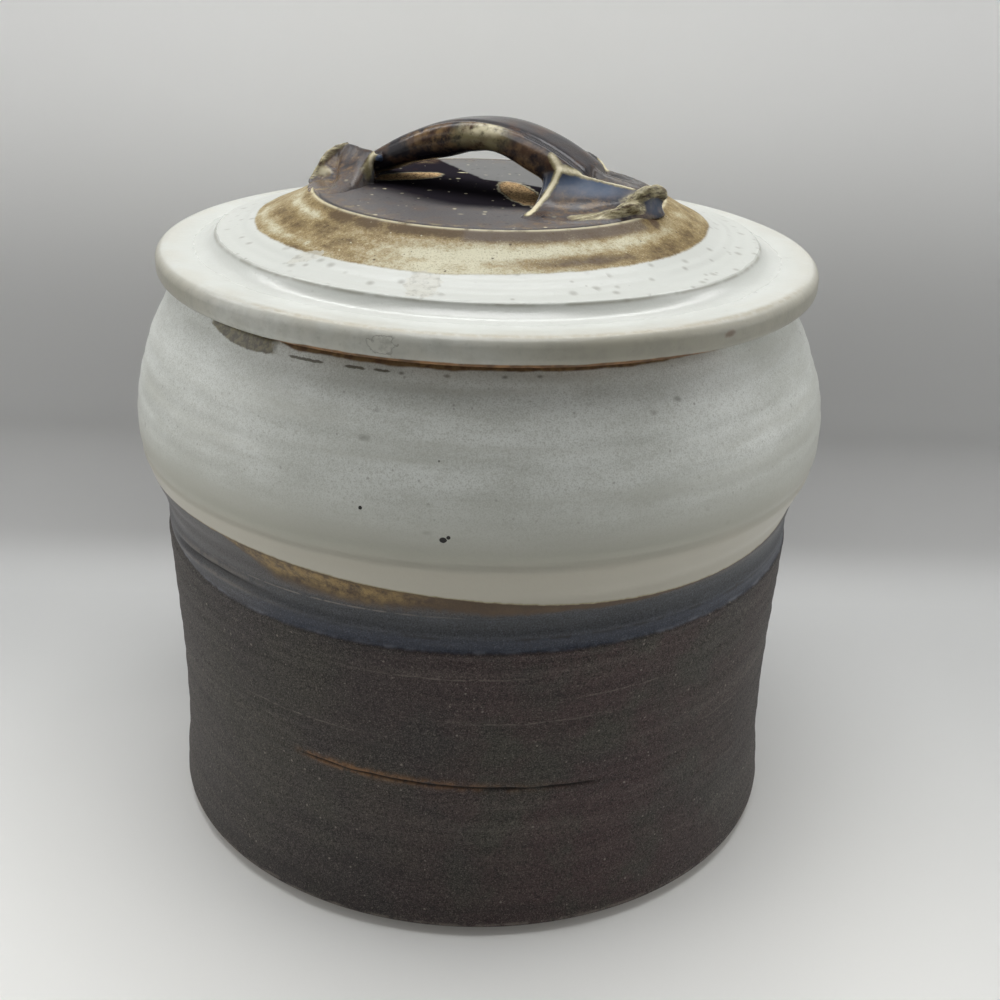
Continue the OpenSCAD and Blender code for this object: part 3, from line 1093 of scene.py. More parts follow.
def melt_band(here, turn, z, below):
    """Colour of the band between the glaze and the bare wall, and where it ends below."""
    ragged = cloud(here, 3.5, 3) - 0.5
    fleck = cloud(here, 1.2, 4, 0.7)
    dust = cloud(here, 0.45, 2, 0.6)
    left = turn.bell(gouge_turn, gouge_spread)
    low = z - (band_low_z + 0.7) + ragged * 0.9 - turn.bell(-70, 16) * 2.5
    band = (z - 117.2 + ragged * 1.5).rise(-0.8, 1.0).tint(band_slate, band_mauve)
    band = low.rise(7, 3).tint(band, band_navy)
    band = (turn.rise(-28, -46) * turn.rise(-175, -110) * 0.6).tint(band, band_mauve)
    streak = cloud(here, 2.2, 3, 0.6, (0.12, 0.12, 1.0))
    band = (streak.rise(0.5, 0.75) * 0.14).tint(band, band_pale)
    band = (dust.rise(0.52, 0.30) * 0.75).tint(band, iron_black)
    band = (dust.rise(0.53, 0.74) * 0.35).tint(band, band_pale)
    rim = low.bell(0.3, 0.6) * cloud(here, 7, 3).rise(0.42, 0.66)
    band = (rim * 0.6).tint(band, band_pale)
    line = z.bell(line_z, 0.25) * turn.bell(line_turn, 20) * cloud(here, 4, 2).rise(0.36, 0.5)
    band = (line * 0.7).tint(band, line_pale)
    to_front = turn.rise(-30, -18) * turn.rise(175, 120)
    from_gouge = turn.rise(*gouge_falls_at) * gouge_fall + z - gouge_z_at_front
    groove = from_gouge.bell(0, 0.85) * left
    band = (groove * 0.95).tint(band, iron_black)
    lips = from_gouge.bell(2.3, 0.9) + from_gouge.bell(-2.2, 0.7)
    lips = lips * left * cloud(here, 5, 3).rise(0.30, 0.55)
    band = (lips * 0.45).tint(band, line_pale)
    pits = specks(here, 5.0, 1.1, 0.55, 0.3) * z.bell(seam_z, 2.2) * to_front
    band = (pits * 0.95).tint(band, iron_black)
    seam = (z + ragged).bell(seam_z, 0.4) * cloud(here, 6, 2).rise(0.42, 0.58) * to_front
    band = (seam * 0.8).tint(band, iron_black)

    deep = turn.rise(-4, -21) * 4.0 + turn.rise(16, 2) * 2.4 + turn.rise(44, 12) * 1.6
    deep = turn.rise(-43, -31) * deep + 0.4
    deep = deep + ragged * (turn.bell(-16, 30) * 2.6 + 0.8)
    share = below / deep.top(0.4)
    ochre = (fleck * 0.4 + cloud(here, 4, 4, 0.6) * 0.6).rise(0.36, 0.62).tint(fringe_brown, fringe_ochre)
    ochre = (share.rise(0.55, 1.0) * 0.8).tint(ochre, fringe_brown)
    ochre = (below.rise(1.2, 0.1) * 0.6).tint(ochre, fringe_brown)
    ochre = (turn.rise(-17, -2) * 0.9).tint(ochre, fringe_red)
    ochre = (dust.rise(0.50, 0.28) * 0.5).tint(ochre, fringe_brown)
    return share.rise(1.3, 0.75).tint(band, ochre), low.rise(-0.5, 0.5)


# %% [markdown]
# Now the zones are laid over each other. The pale glaze goes greyer towards the bottom of the belly, a
# band of painted shade lies just above the crease, and under the crease the glaze turns to cream. A sliver
# and some dashes under the rim were missed by it, three blots of iron burnt through it, and the rim was
# wiped bare for the lid.

# %% Put the jar's finish together
edge_olive = rgb(0.27, 0.225, 0.10)
missed_tan = rgb(0.21, 0.18, 0.095)
missed_dark = rgb(0.085, 0.072, 0.042)
rim_olive = rgb(0.25, 0.165, 0.075)
tan_turns = (-50.4, -34)
sliver_turn = -39
sliver_z = 186.2
sliver_bend = 0.024
seat_turns = (-33, 36)
dash_z = 187.3
dash_turns = ((-30.9, -24.6), (-20.9, -17.6), (-16.2, -13.6))
faint_z = 187.1
faint_turns = (-11.8, -4.9, 3.8, 9.1)
iron_blots = (
    ((-9.0, -116.2, 144.8), (1.1, 1.1, 0.8), 0.9),
    ((-7.6, -116.3, 145.6), (0.6, 0.6, 0.6), 0.7),
    ((-31.9, -112, 152), (0.6, 0.6, 0.6), 0.7),
)


def jar_finish():
    material, here = new_finish("jar_stoneware")
    x, y, z = split(here)
    turn = x.maths("ARCTAN2", y * -1) * (180 / math.pi)
    out = (x * x + y * y).maths("SQRT")
    sway = ((turn - glaze_high_turn) * (math.pi / 90)).maths("COSINE")
    edge = sway * glaze_sway + glaze_z + (cloud(here, 2.4, 2) - 0.5) * 0.9
    below = edge - z
    glazed = below.rise(0.12, -0.12)

    white, white_relief = pale_glaze(here, 1.1)
    crease = x / out * -crease_lean + crease_z_at_front
    creamy = (z - crease + (cloud(here, 20, 2) - 0.5) * 3.0).rise(3.2, -2.6)
    # The pale glaze goes greyer towards the bottom of the belly, and along the throwing rings.
    lower = (z + (cloud(here, 24, 2) - 0.5) * 14).rise(164, 140)
    white = (lower * 0.7).tint(white, glaze_greyer)
    rings = cloud(here, 9, 3, 0.6, (0.06, 0.06, 1.0))
    white = (rings.rise(0.48, 0.68) * 0.5).tint(white, glaze_greyer)
    # Painted shade: an olive-grey band just above the crease, where the belly turns under.
    white = ((z - crease).bell(2.0, 7) * 0.7).tint(white, glaze_crease_shade)
    white = (creamy * 0.85).tint(white, glaze_cream)
    white = (below.rise(-0.9, 0.0) * 0.85).tint(white, edge_olive)

    melted, in_band = melt_band(here, turn, z, below)
    unglazed = in_band.tint(bare_wall(here, turn, z), melted)
    colour = glazed.tint(unglazed, white)

    torn_edge = cloud(here, 1.8, 3) - 0.5
    from_middle = turn - sliver_turn
    sliver_low = from_middle * from_middle * sliver_bend + sliver_z
    sliver = (z - sliver_low + torn_edge * 0.9).rise(-0.25, 0.25)
    sliver = sliver * between(turn + torn_edge * 2, *tan_turns, 0.9)
    dash_row = (z + torn_edge * 0.8).bell(dash_z, 0.42)
    faint_row = z.bell(faint_z, 0.7) * 0.6
    strong = [between(turn, *ends, 0.8) * dash_row for ends in dash_turns]
    faint = [turn.bell(middle, 0.8) * faint_row for middle in faint_turns]
    dashes = any_of(strong + faint)
    mouldy = cloud(here, 1.6, 4, 0.7).rise(0.35, 0.62).tint(missed_tan, missed_dark)
    colour = (sliver * 0.95).tint(colour, mouldy)
    colour = (dashes.rise(0.25, 0.75) * 0.85).tint(colour, missed_dark)
    blots = any_of([patch(here, place, half, 0, ragged, 1.2) for place, half, ragged in iron_blots])
    colour = blots.tint(colour, iron_black)
    dripped = between(turn, *seat_turns, 3) * 1.8 + (cloud(here, 9, 2) - 0.5) * 1.2
    bare = (z + x * rim_drop + dripped).rise(jar_h - 1.1, jar_h - 0.5) * out.rise(mouth_r - 6, mouth_r - 3)
    colour = bare.tint(colour, cloud(here, 2, 3).rise(0.3, 0.7).tint(rim_olive, toasted_dark))

    within = kept(here, "inside")
    colour = within.tint(colour, white)

    matt = (1 - glazed.top(within)) * (1 - in_band * 0.75)
    rough = matt * 0.42 + 0.28 + cloud(here, 9, 3) * 0.08 + bare * 0.3
    sandy = cloud(here, 0.6, 2, 0.7) * 0.5 + cloud(here, 1.3, 3, 0.7) * 0.5
    relief = white_relief * (1 - matt) * 0.6 + sandy * matt * 1.6
    return finish_with(material, shade(here, colour, rough.limit(), relief, 0.22, 0.36))


jar.data.materials.append(jar_finish())

# %% [markdown]
# ## The lid's finish
# The rim and the slope carry the pale glaze. A dark glaze was poured over the flat and ran out over the
# slope, where the two melted into a brown and cream mottle. On the flat it lies black under and beside the
# strap, where the strap's shadow and dark reflection are painted in as black without gloss, goes a satin
# mauve-grey towards the front, and browns at the edges. The strap takes the same glaze, so its colour is a
# function of its own.

# %% Mix the dark glaze
dark_black = rgb(0.016, 0.014, 0.018)
dark_red = rgb(0.050, 0.024, 0.014)
dark_mauve = rgb(0.080, 0.075, 0.078)
dark_grey = rgb(0.10, 0.10, 0.098)
dark_brown = rgb(0.115, 0.072, 0.046)
break_ochre = rgb(0.30, 0.19, 0.085)
break_olive = rgb(0.27, 0.235, 0.125)
break_cream = rgb(0.62, 0.57, 0.40)


def along_strap(x, y):
    """How far a place lies along the strap and across it, as wires."""
    along = x * math.cos(handle_turn) - y * math.sin(handle_turn)
    across = x * math.sin(handle_turn) + y * math.cos(handle_turn)
    return along, across


def poured(here, x, y, out, speckled):
    """Colour of the dark glaze on the flat and on what is pressed on it, and the mask of the strap's
    painted shade on the flat.
    """
    along, across = along_strap(x, y)
    mid = cloud(here, 3.4, 5, 0.65)
    flow = cloud(here, 9, 4, 0.6)
    colour = flow.rise(0.62, 0.85).tint(dark_black, dark_red)
    # The mauve front begins a little in front of the strap, where its painted shade ends.
    front_line = along.bell(-1, 24) * -11.5 - 14 + (flow - 0.5) * 4
    front = (front_line - across).rise(-3.0, 9.0)
    colour = front.tint(colour, dark_mauve)
    far_line = (along * -0.75 + 8).top(15) + (flow - 0.5) * 3
    far = (across - far_line).rise(-0.8, 1.0)
    colour = far.tint(colour, dark_grey)
    ends = (along.rise(-34, -42) * across.rise(-2, -8)).top(along.rise(27, 34))
    rusty = ends * (mid * 0.6 + flow * 0.4)
    colour = (ends * mid.rise(0.34, 0.60) * 0.7).tint(colour, dark_brown)
    colour = (rusty.rise(0.48, 0.64) * 0.7).tint(colour, break_ochre)
    clouded = front * flow.rise(0.46, 0.66) * mid.rise(0.36, 0.6)
    colour = (clouded * 0.55).tint(colour, dark_brown)
    worn = out.rise(46, 57) * mid.rise(0.40, 0.60)
    colour = (worn * 0.7).tint(colour, dark_brown)
    colour = (worn * mid.rise(0.54, 0.70) * 0.8).tint(colour, break_olive)
    drawn = here.node("ShaderNodeMapping", {}, {0: here, "Scale": (0.5, 1, 1)})
    dust = cloud(here, 0.6, 3, 0.65)
    colour = (front * dust.rise(0.54, 0.76) * 0.35).tint(colour, break_olive)
    colour = (front * dust.rise(0.48, 0.28) * 0.5).tint(colour, dark_black)
    colour = (specks(drawn, 5.0, 1.0, 0.34, 0.4) * (0.85 * speckled)).tint(colour, break_cream)
    colour = (specks(here, 3.0, 0.75, 0.26, 0.4) * (0.8 * speckled)).tint(colour, break_cream)
    colour = (specks(here, 2.2, 0.7, 0.34, 0.4) * 0.75).tint(colour, dark_black)
    # Painted shade: the black left between the mauve front, the grey far side and the ends is the strap's
    # shadow and dark reflection on the flat; its mask is returned.
    return colour, (1 - front.top(far)) * (1 - ends)


# %% [markdown]
# The mottle is a sum of noises that says how pale it is: streaks round the axis, flow, and fine grain.
# Broad bells over the angle and the radius then make it paler or darker where the glazes ran together more
# or less.

# %% Mix the mottle
mottle_brown = rgb(0.092, 0.057, 0.022)
mottle_tan = rgb(0.285, 0.21, 0.092)
mottle_cream = rgb(0.57, 0.545, 0.40)
mottle_mauve = rgb(0.12, 0.092, 0.070)
pit_brown = rgb(0.05, 0.028, 0.014)


def mottle(here, out, x, y, turn):
    """Colour of the belt where the dark glaze ran into the pale one."""
    streaks = cloud(swirl(here, out, x, y, 2.4), 9, 5, 0.62)
    flow = cloud(here, 7, 5, 0.66)
    fine = cloud(here, 1.2, 4, 0.75)
    dust = cloud(here, 0.5, 2, 0.6)
    front = turn.bell(6, 26) * out.bell(65.8, 3.0) * 0.16 + turn.bell(12, 32) * out.bell(73.8, 1.2) * 0.06
    front = front + turn.bell(-11, 19) * out.rise(64, 68) * 0.14
    front = front - turn.bell(22, 15) * out.bell(70.2, 1.9) * 0.13
    left = out.bell(62.3, 1.5) * 0.13 - out.bell(67.5, 2.6) * 0.11 + out.bell(73.2, 1.4) * 0.11
    left = turn.bell(-66, 20) * left - turn.bell(-40, 13) * 0.07
    right = turn.bell(40, 14) * out.bell(64.8, 2) * 0.09 - turn.bell(58, 26) * out.rise(64, 68) * 0.08
    inner = turn.bell(0, 60) * out.rise(63.5, 60) * -0.20
    pale = streaks * 0.36 + flow * 0.34 + fine * 0.28 + 0.025 + front + left + right + inner
    colour = pale.rise(0.32, 0.54).tint(mottle_brown, mottle_tan)
    colour = pale.rise(0.47, 0.71).tint(colour, mottle_cream)
    mauve = out.rise(63.5, 61) * between(turn, -7, 52, 1.5) * (flow * 0.5 + fine * 0.5).rise(0.30, 0.50)
    mauve = mauve.top(turn.bell(22, 13) * out.bell(70.2, 1.7) * fine.rise(0.40, 0.55) * 0.8)
    colour = (mauve * 0.85).tint(colour, mottle_mauve)
    colour = (dust.rise(0.50, 0.28) * 0.45).tint(colour, mottle_brown)
    colour = (dust.rise(0.55, 0.75) * pale.rise(0.36, 0.5) * 0.45).tint(colour, mottle_cream)
    halo = specks(here, 7.5, 1.7, 0.30, 0.4)
    colour = (halo * 0.6).tint(colour, mottle_cream)
    colour = (specks(here, 7.5, 0.75, 0.30, 0.3) * 0.9).tint(colour, pit_brown)
    colour = (specks(here, 2.6, 0.42, 0.20, 0.4) * 0.8).tint(colour, pit_brown)
    return (specks(here, 3.0, 0.40, 0.15, 0.4) * 0.7).tint(colour, mottle_cream), fine


# %% [markdown]
# The lid's finish starts with the pale glaze, worn at its edges. The mottle goes over it, and the dark
# glaze over both. Two leaf-shaped places on the flat stayed bare, each with a dark and a pale line round
# it, and the seat underneath was wiped clean. Under and beside the strap, where its shadow and dark
# reflection are painted in, a shader with no gloss of its own keeps the flat black.

# %% Put the lid's finish together
leaf_sand = rgb(0.55, 0.38, 0.20)
missed_grey = rgb(0.50, 0.50, 0.445)
arris_tan = rgb(0.34, 0.295, 0.20)
brow_olive = rgb(0.17, 0.155, 0.10)
side_olive = rgb(0.36, 0.345, 0.28)
leaves = ((on_flat_one(10.5, 1.5, 0), 18.5, 5.2, 79), (on_flat_one(-33.6, 4.3, 0), 13.0, 5.4, -27))
missed_on_slope = (
    ((-16.7, -79.5, 206), (5.0, 7.2, 8), 6, 1.3, 3.5),
    ((-51.2, -57, 207), (5.2, 2.8, 6), -8, 1.4, 2.5),
)
chip_place = (-26.1, -105, 196.2)


def bare_leaves(here, wider):
    """The two leaf-shaped places that stayed bare, or the line round them."""
    return any_of([
        patch(here, place, (half_length + wider, half_width + wider, 9), turn, 0.4, 3)
        for place, half_length, half_width, turn in leaves
    ])


def lid_finish():
    material, here = new_finish("lid_glaze")
    x, y, z = split(here)
    z = z + x * rim_drop
    x = x - lid_shift
    out = (x * x + y * y).maths("SQRT")
    turn = x.maths("ARCTAN2", y * -1) * (180 / math.pi)
    colour, white_relief = pale_glaze(here, 0.35)
    slope = out.rise(step_r + 0.5, step_r - 1)
    hollow = out.rise(step_r - 1.5, step_r) * out.rise(cove_end_r + 2, cove_end_r - 2)
    colour = (slope * 0.2 + 0.75).tint(colour, glaze_lid)
    stars = specks(here, 4.0, 1.2, 0.6, 0.8) * slope
    colour = (stars * 0.7).tint(colour, freckle_grey)

    rim = out.rise(lid_r - 12, lid_r - 3)
    colour = (rim * cloud(here, 12, 3).rise(0.3, 0.6) * 0.4).tint(colour, glaze_cream)
    side = out.rise(lid_r - 3.2, lid_r - 1.0) * z.rise(lid_rim_z + 1, lid_rim_z - 2)
    blotch = cloud(here, 5, 4, 0.65).rise(0.40, 0.66) * 0.26 + specks(here, 1.9, 0.5, 0.5, 0.5) * 0.20
    # The rim's side goes olive-grey, most towards the right and the far left.
    olive_share = turn.rise(-4, 16).top(turn.rise(-40, -58)) * 0.65 + 0.3
    colour = (side * olive_share).tint(colour, side_olive)
    colour = (side * blotch).tint(colour, freckle_grey)
    wear = cloud(here, 9, 3)
    arris = (out + (wear - 0.5) * 0.8 - (lid_r - 2.5)).bell(0, 0.9) * z.rise(lid_rim_z - 3, lid_rim_z - 2)
    arris = arris * between(turn, -40, 64, 9) * (cloud(here, 2.4, 3).rise(0.34, 0.58) * 0.6 + 0.4)
    colour = (arris * 0.65).tint(colour, arris_tan)
    brow_line = (out - (step_r - 0.3)).bell(0, 0.45) * z.rise(step_z - 1.8, step_z - 0.8)
    colour = (brow_line * (wear.rise(0.66, 0.40) * 0.35 + 0.15)).tint(colour, brow_olive)
    chip_wide = patch(here, chip_place, (4.0, 4.0, 2.7), 0, 1.8, 2.0) * side
    chip = patch(here, chip_place, (3.5, 3.5, 2.2), 0, 1.8, 2.0) * side
    colour = ((chip_wide - chip) * 0.8).tint(colour, freckle_grey)
    miss = any_of([patch(here, *missed) for missed in missed_on_slope] + [chip])
    greyer = (cloud(here, 2.2, 4, 0.65).rise(0.46, 0.68) * 0.6).tint(missed_grey, freckle_grey)
    colour = (miss * 0.9).tint(colour, greyer)

    run = out + x / out * 2.0 + (cloud(here, 20, 2) - 0.5) * 2.0
    belt, fine = mottle(here, out, x, y, turn)
    within = kept(here, "inside")
    mottled = (run + (fine - 0.5) * 1.2).rise(75.1, 74.1) * (1 - within)
    belt = (miss * 0.6).tint(belt, missed_grey)
    belt = (run.rise(73.8, 74.7) * 0.25).tint(belt, mottle_tan)
    colour = mottled.tint(colour, belt)

    raised = z.rise(flat_z - 4, flat_z - 3)
    on_disc = out.rise(flat_r - 0.3, flat_r - 0.9) * raised
    black, strap_shadow_mask = poured(here, x, y, out, 1.0)
    leaf = bare_leaves(here, 0)
    black = (bare_leaves(here, 2.0) * 0.95).tint(black, dark_black)
    black = (bare_leaves(here, 0.9) * 0.8).tint(black, break_cream)
    black = bare_leaves(here, 0.4).tint(black, dark_black)
    sand = (fine * 0.6 + cloud(here, 0.6, 2) * 0.4).rise(0.36, 0.58).tint(dark_brown, leaf_sand)
    black = leaf.tint(black, sand)
    colour = on_disc.tint(colour, black)
    score = (out - (flat_r - 1.5 * score_w)).bell(0, 0.8) * raised
    colour = (score * 0.95).tint(colour, dark_black)
    lip = (out - flat_r).bell(-0.1, 0.55) * raised
    colour = (lip * cloud(here, 5, 3).rise(0.2, 0.5) * 0.75).tint(colour, break_cream)
    drip = patch(here, (51.5, -31, 215), (7, 2.2, 3), 58, 0.8, 3, 0.3)
    colour = (drip * (1 - on_disc) * 0.8).tint(colour, dark_red)

    wiped = z + (cloud(here, 9, 2) - 0.5) * 1.0 - between(turn, *seat_turns, 9) * 1.6
    seat = wiped.rise(jar_h + 0.1, jar_h - 0.4) * out.rise(ring_bore_r - 0.6, ring_bore_r)
    flamed = cloud(here, 5, 3).rise(0.4, 0.6) * 0.5
    colour = seat.tint(colour, flamed.tint(bare_toasted(here), toasted_dark))
    spot = patch(here, (69.3, -85.1, 195.1), (2.0, 2.0, 0.9), 0, 1.2, 1.5, 0.6)
    colour = (spot * 0.7).tint(colour, toasted_dark)

    gritty = leaf * on_disc
    melted = mottled * (1 - on_disc)
    rough = on_disc * 0.12 + 0.26 - hollow * 0.06 + seat * 0.5 + gritty * 0.4 + cloud(here, 7, 3) * 0.06
    rough = rough.limit()
    relief = white_relief * (1 - on_disc * 0.8) + melted * fine * 0.8 + gritty * fine * 2
    satin, pooled, dark = (shade(here, colour, rough, relief, 0.18, gloss) for gloss in (0.4, 0.75, 0.0))
    pale = here.node("ShaderNodeMixShader", {}, {0: hollow, 1: satin, 2: pooled})
    # Painted shade: where the strap shades the flat, the shader without gloss keeps it black.
    dull_and_strap_shadow = (on_disc * strap_shadow_mask).top(melted * 0.6)
    return finish_with(material, here.node("ShaderNodeMixShader", {}, {0: dull_and_strap_shadow, 1: pale, 2: dark}))


lid.data.materials.append(lid_finish())

# %% [markdown]
# ## The strap's finish
# The same dark glaze covers the strap. It runs off every proud edge, where it breaks to olive and cream,
# and gathers in the thumbed hollows, where it turns a cloudy blue. What was measured on the mesh says where
# that is, and patches add the places that the potter's dipping left paler, and one painted reflection, a
# grey patch on the back of the right end. The ring is bare clay.

# %% Colour the strap and the ring
ridge_cream = rgb(0.72, 0.66, 0.47)
pool_blue = rgb(0.085, 0.125, 0.20)
lip_way = math.radians(28)
strap_pools = (
    # place on the handle, half sizes, turn, ragged, lumps, soft, strength and colour
    ((41, -10, 7.2), (13, 4.0, 3.2), 5, 0.2, 9, 0.8, 0.85, pool_blue),
    ((60, -2, 2.6), (6, 6, 3.2), 0, 0.4, 4, 0.5, 0.5, pool_blue),
    # painted reflection: the grey patch on the back of the right end
    ((46, 5.5, 8.4), (12, 7, 4), 27, 0.5, 6, 0.5, 0.7, dark_grey),
    ((-48, -9, 9), (8, 6, 3.5), 27, 0.4, 5, 0.7, 0.6, dark_mauve),
    (bead_place, (1.5, 1.5, 1.5), 0, 0, 1, 0.2, 0.9, pool_blue),
    ((-54, -17.5, 3.6), (3.6, 2.4, 1.5), 40, 0.9, 2, 0.5, 0.8, break_cream),
)


def strap_finish():
    material, here = new_finish("handle_glaze")
    proud = kept(here, "proud")
    ridge = kept(here, "ridge")
    torn_lip = kept(here, "torn")
    flow = cloud(here, 7, 4)
    fine = cloud(here, 1.5, 4, 0.7)
    mid = cloud(here, 3.2, 5, 0.65)
    x, y, z = split(here)
    x = x - lid_shift
    along, across = along_strap(x, y)
    out = (x * x + y * y).maths("SQRT")
    up = z + x * rim_drop - flat_z
    arched = up.rise(7, 12).top(between(along, -33, 22, 3) * up.rise(1.5, 3))
    colour = flow.rise(0.46, 0.66).tint(dark_black, dark_red)
    colour = arched.tint(poured(here, x, y, out, 0.3)[0], colour)

    fan = along.rise(28, 33) * (1 - arched)
    colour = (fan * 0.4).tint(colour, dark_black)

    face = across.rise(-8.5, -11)
    left_face = patch(here, on_flat_one(-15, -12.5, 17.5), (11, 9, 4.0), 27, 0.8, 6, 0.5)
    colour = (left_face * face * mid.rise(0.38, 0.66) * 0.65).tint(colour, break_ochre)
    right_face = patch(here, on_flat_one(17, -12, 13), (9, 9, 5), 27, 0.8, 6, 0.5)
    colour = (right_face * face * mid.rise(0.32, 0.58) * 0.8).tint(colour, dark_brown)
    colour = (right_face * face * mid.rise(0.48, 0.66) * 0.35).tint(colour, break_ochre)
    crown = patch(here, on_flat_one(2.5, -12, 18.6), (8.5, 7, 4.2), 27, 0.7, 6, 0.5)
    colour = (crown * mid.rise(0.26, 0.56) * 0.8).tint(colour, break_olive)
    top = patch(here, on_flat_one(3.5, -11.5, 21.6), (8, 4.0, 2.2), 27, 0.6, 5, 0.5)
    colour = (top * mid.rise(0.30, 0.62) * 0.8).tint(colour, break_cream)

    uneven = proud + (flow - 0.5) * 0.25 + (fine - 0.5) * 0.1
    colour = (uneven.rise(0.10, 0.40) * flow.rise(0.44, 0.62) * 0.7).tint(colour, dark_brown)
    for place, half, angle, ragged, lumps, soft, strength, tone in strap_pools:
        spread = patch(here, on_flat_one(*place), half, angle, ragged, lumps, soft)
        colour = (spread * strength).tint(colour, tone)

    pale = (ridge + (fine - 0.5) * 0.6 + (flow - 0.5) * 0.6) * ridge.rise(0.05, 0.2)
    colour = (pale.rise(0.14, 0.5) * 0.85).tint(colour, break_olive)
    colour = (pale.rise(0.42, 0.90) * 0.85).tint(colour, ridge_cream)
    lip = torn_lip.rise(0.15, 0.5)
    drawn = {0: here, "Rotation": (0, 0, lip_way), "Scale": (3.5, 1, 1)}
    twist = cloud(here.node("ShaderNodeMapping", {"vector_type": "TEXTURE"}, drawn), 1.2, 4, 0.7)
    colour = (lip * twist.rise(0.30, 0.55) * 0.85).tint(colour, break_olive)
    colour = (lip * twist.rise(0.48, 0.70) * 0.8).tint(colour, break_cream)
    colour = (lip * twist.rise(0.48, 0.34) * 0.9).tint(colour, dark_red)
    rough = pale.rise(0.3, 0.8) * 0.15 + 0.16 + torn_lip * 0.25 + (1 - arched) * 0.05
    relief = fine * 0.3 + flow * 0.7
    return finish_with(material, shade(here, colour, rough.limit(), relief, 0.15, 0.2))


def ring_finish():
    material, here = new_finish("bare_clay")
    rough = cloud(here, 5, 3) * 0.15 + 0.72
    relief = cloud(here, 0.8, 3, 0.7)
    return finish_with(material, shade(here, bare_toasted(here), rough, relief, 0.2))


strap.data.materials.append(strap_finish())
ring.data.materials.append(ring_finish())

# %% [markdown]
# ## Riding on the bodies
# Each piece moves with the body it belongs to and stands for one solid of the frame.

# %% Tie the pieces to the frame
for piece, body, node, slot in (
    (jar, "jar", "jar_body", "jar_stoneware"),
    (lid, "lid", "lid_cover", "lid_glaze"),
    (ring, "lid", "lid_locating_ring", "bare_clay"),
    (strap, "lid", "lid_handle", "handle_glaze"),
):
    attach(piece, body)
    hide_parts(node)

# %% [markdown]
# ## The studio
# A sheet of pale paper lies under the jar and curves up close behind it. The plane's back edge is spun
# through a quarter turn and then pulled up. The paper casts no shadow and is see-through from behind, so
# that the jar can be looked at from there as well, and a plain floor lies under it all.

# %% Hang the paper
paper_front = -1.6
paper_bend_y = 0.118
paper_bend_r = 0.062
paper_half_w = 1.8
paper_top = 1.1
bpy.ops.object.select_all(action="DESELECT")
bpy.ops.mesh.primitive_plane_add(size=1, location=(0, (paper_front + paper_bend_y) / 2, 0))
paper = bpy.context.object
paper.name = "paper_sweep"
paper.scale = (2 * paper_half_w, paper_bend_y - paper_front, 1)
bpy.ops.object.transform_apply(location=True, rotation=True, scale=True)
bpy.ops.object.mode_set(mode="EDIT")
bpy.ops.mesh.select_all(action="DESELECT")
bpy.ops.object.mode_set(mode="OBJECT")
for corner in paper.data.vertices:
    corner.select = corner.co.y > 0
bpy.ops.object.mode_set(mode="EDIT")
bpy.ops.mesh.spin(steps=24, angle=-math.pi / 2, center=(0, paper_bend_y, paper_bend_r), axis=(1, 0, 0))
bpy.ops.mesh.extrude_region_move(TRANSFORM_OT_translate={"value": (0, 0, paper_top - paper_bend_r)})
bpy.ops.mesh.select_all(action="SELECT")
bpy.ops.mesh.remove_doubles(threshold=0.01 * MM)
bpy.ops.object.mode_set(mode="OBJECT")
bpy.ops.object.shade_smooth()
print("paper reaches", places(paper).min(0).round(0), places(paper).max(0).round(0))

bpy.ops.object.select_all(action="DESELECT")
bpy.ops.mesh.primitive_plane_add(size=12, location=(0, 0, -0.002))
floor = bpy.context.object
floor.name = "floor"
paper.visible_shadow = False

# %% [markdown]
# The paper is matt and pale, and light and shade are painted into its colour: painted shade darkens the
# bend behind the jar and the floor towards the back and the right, the hung part is painted brightest high
# up, and a painted glow keeps its top and the floor in front of the jar bright without more light on the
# jar.

# %% Colour the paper
# Apart from the floor's, these colours carry painted shade and painted light.
paper_front_colour = rgb(0.86, 0.86, 0.835)
paper_back_shade_colour = rgb(0.50, 0.505, 0.50)
paper_bend_shade_colour = rgb(0.31, 0.31, 0.305)
paper_low_shade_colour = rgb(0.56, 0.56, 0.555)
paper_high_lit_colour = rgb(0.85, 0.85, 0.84)
# The next colour is a painted glow: light that the paper gives off, though it is no lamp.
paper_painted_glow = rgb(0.18, 0.18, 0.178)
floor_colour = rgb(0.74, 0.74, 0.73)


def paper_finish():
    material, here = new_finish("paper")
    x, y, z = split(here)
    # Painted shade: the floor darkens towards the back.
    level = y.rise(-160, 110).tint(paper_front_colour, paper_back_shade_colour)
    # Painted shade and light: the hung paper is darkest in the bend and brightest high up.
    hung = z.rise(10, 78).tint(paper_bend_shade_colour, paper_low_shade_colour)
    hung = z.rise(80, 230).tint(hung, paper_high_lit_colour)
    # Painted shade: the hung paper goes to one mid shade towards the sides, and the floor darkens to the
    # right.
    hung = (x.maths("ABSOLUTE").rise(60, 260) * 0.35).tint(hung, paper_low_shade_colour)
    level = (x.rise(110, 240) * 0.45).tint(level, paper_back_shade_colour)
    colour = z.rise(-1, 15).tint(level, hung)
    # Painted light: a glow near the jar's foot and high up on the paper.
    near_jar_painted_light = (x * x + y * y).maths("SQRT").rise(170, 108) * y.rise(60, 0) * x.rise(150, 40) * 0.35
    painted_glow = z.rise(120, 270).top(near_jar_painted_light * z.rise(2, 1)).tint(rgb(0, 0, 0), paper_painted_glow)
    sockets = {"Base Color": colour, "Roughness": 0.9, "Emission Color": painted_glow, "Emission Strength": 1.0}
    shader = here.node("ShaderNodeBsdfPrincipled", {}, sockets)
    clear = here.node("ShaderNodeBsdfTransparent")
    behind = here.node("ShaderNodeNewGeometry", {}, {}, "Backfacing")
    return finish_with(material, here.node("ShaderNodeMixShader", {}, {0: behind, 1: shader, 2: clear}))


def floor_finish():
    material, here = new_finish("floor")
    sockets = {"Base Color": floor_colour, "Roughness": 0.9}
    return finish_with(material, here.node("ShaderNodeBsdfPrincipled", {}, sockets))


paper.data.materials.append(paper_finish())
floor.data.materials.append(floor_finish())

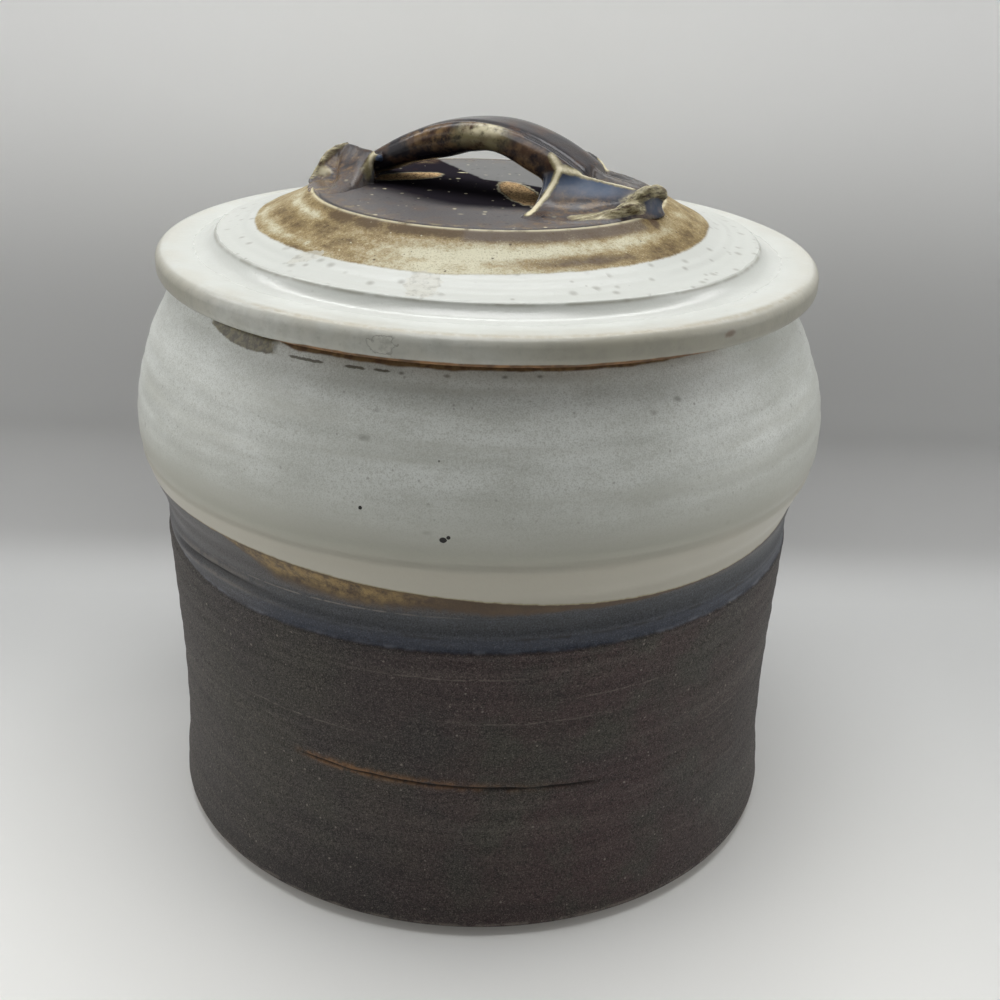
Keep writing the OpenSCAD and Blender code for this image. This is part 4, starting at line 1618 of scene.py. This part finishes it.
# %% [markdown]
# ## Light
# One wide softbox hangs over the jar, and two tall ones stand at its sides, the left one a little stronger.
# A narrow strip behind the jar, which the camera doesn't see, puts a sheen on the far side of the lid. The
# front gets almost nothing of its own, which is why the belly darkens towards the middle.

# %% Hang the softboxes


def softbox(name, place, aim, width, height, watts):
    bpy.ops.object.select_all(action="DESELECT")
    bpy.ops.object.light_add(type="AREA", location=place)
    box = bpy.context.object
    box.name = name
    box.rotation_euler = (Vector(aim) - Vector(place)).to_track_quat("-Z", "Y").to_euler()
    box.data.shape = "RECTANGLE"
    box.data.size = width
    box.data.size_y = height
    box.data.energy = watts
    print(name, width, "by", height, "m,", watts, "W")
    return box


softbox("overhead", (0, -0.02, 1.3), (0, 0, 0.1), 0.75, 0.75, 8.9)
softbox("left_side", (-1.1, -0.1, 0.45), (0, 0, 0.14), 0.7, 0.9, 3.0)
softbox("right_side", (1.1, -0.05, 0.45), (0, 0, 0.14), 0.7, 0.9, 2.7)
back_panel = softbox("back_panel", (0, 0.165, 0.54), (0, -0.2, 0.3), 1.2, 0.08, 2.0)
back_panel.visible_camera = False

room_light = 0.13
world = bpy.data.worlds.new("studio")
bpy.context.scene.world = world
world.use_nodes = True
room = world.node_tree.nodes["Background"]
room.inputs["Color"].default_value = rgb(1, 1, 1)
room.inputs["Strength"].default_value = room_light

# %% [markdown]
# ## Camera
# The camera looks down at the lid from close by, as the photographer did, rolled by one degree.

# %% Set the camera
camera_place = (0, -0.4418, 0.3045)
look_left = 0.24
look_down = 24.27
roll_angle = 1.08
bpy.ops.object.select_all(action="DESELECT")
bpy.ops.object.camera_add()
camera = bpy.context.object
turned_left = Matrix.Rotation(math.radians(look_left), 4, "Z")
tilted = Matrix.Rotation(math.radians(90 - look_down), 4, "X")
rolled = Matrix.Rotation(math.radians(roll_angle), 4, "Z")
camera.matrix_world = Matrix.Translation(camera_place) @ turned_left @ tilted @ rolled
camera.data.sensor_width = 36
camera.data.lens = 48.0
camera.data.shift_x = 0.028
camera.data.shift_y = -0.0024
camera.data.dof.use_dof = False
bpy.context.scene.camera = camera
bpy.context.scene.view_settings.view_transform = "Standard"
print("camera at", camera_place, "looking down by", look_down, "degrees")
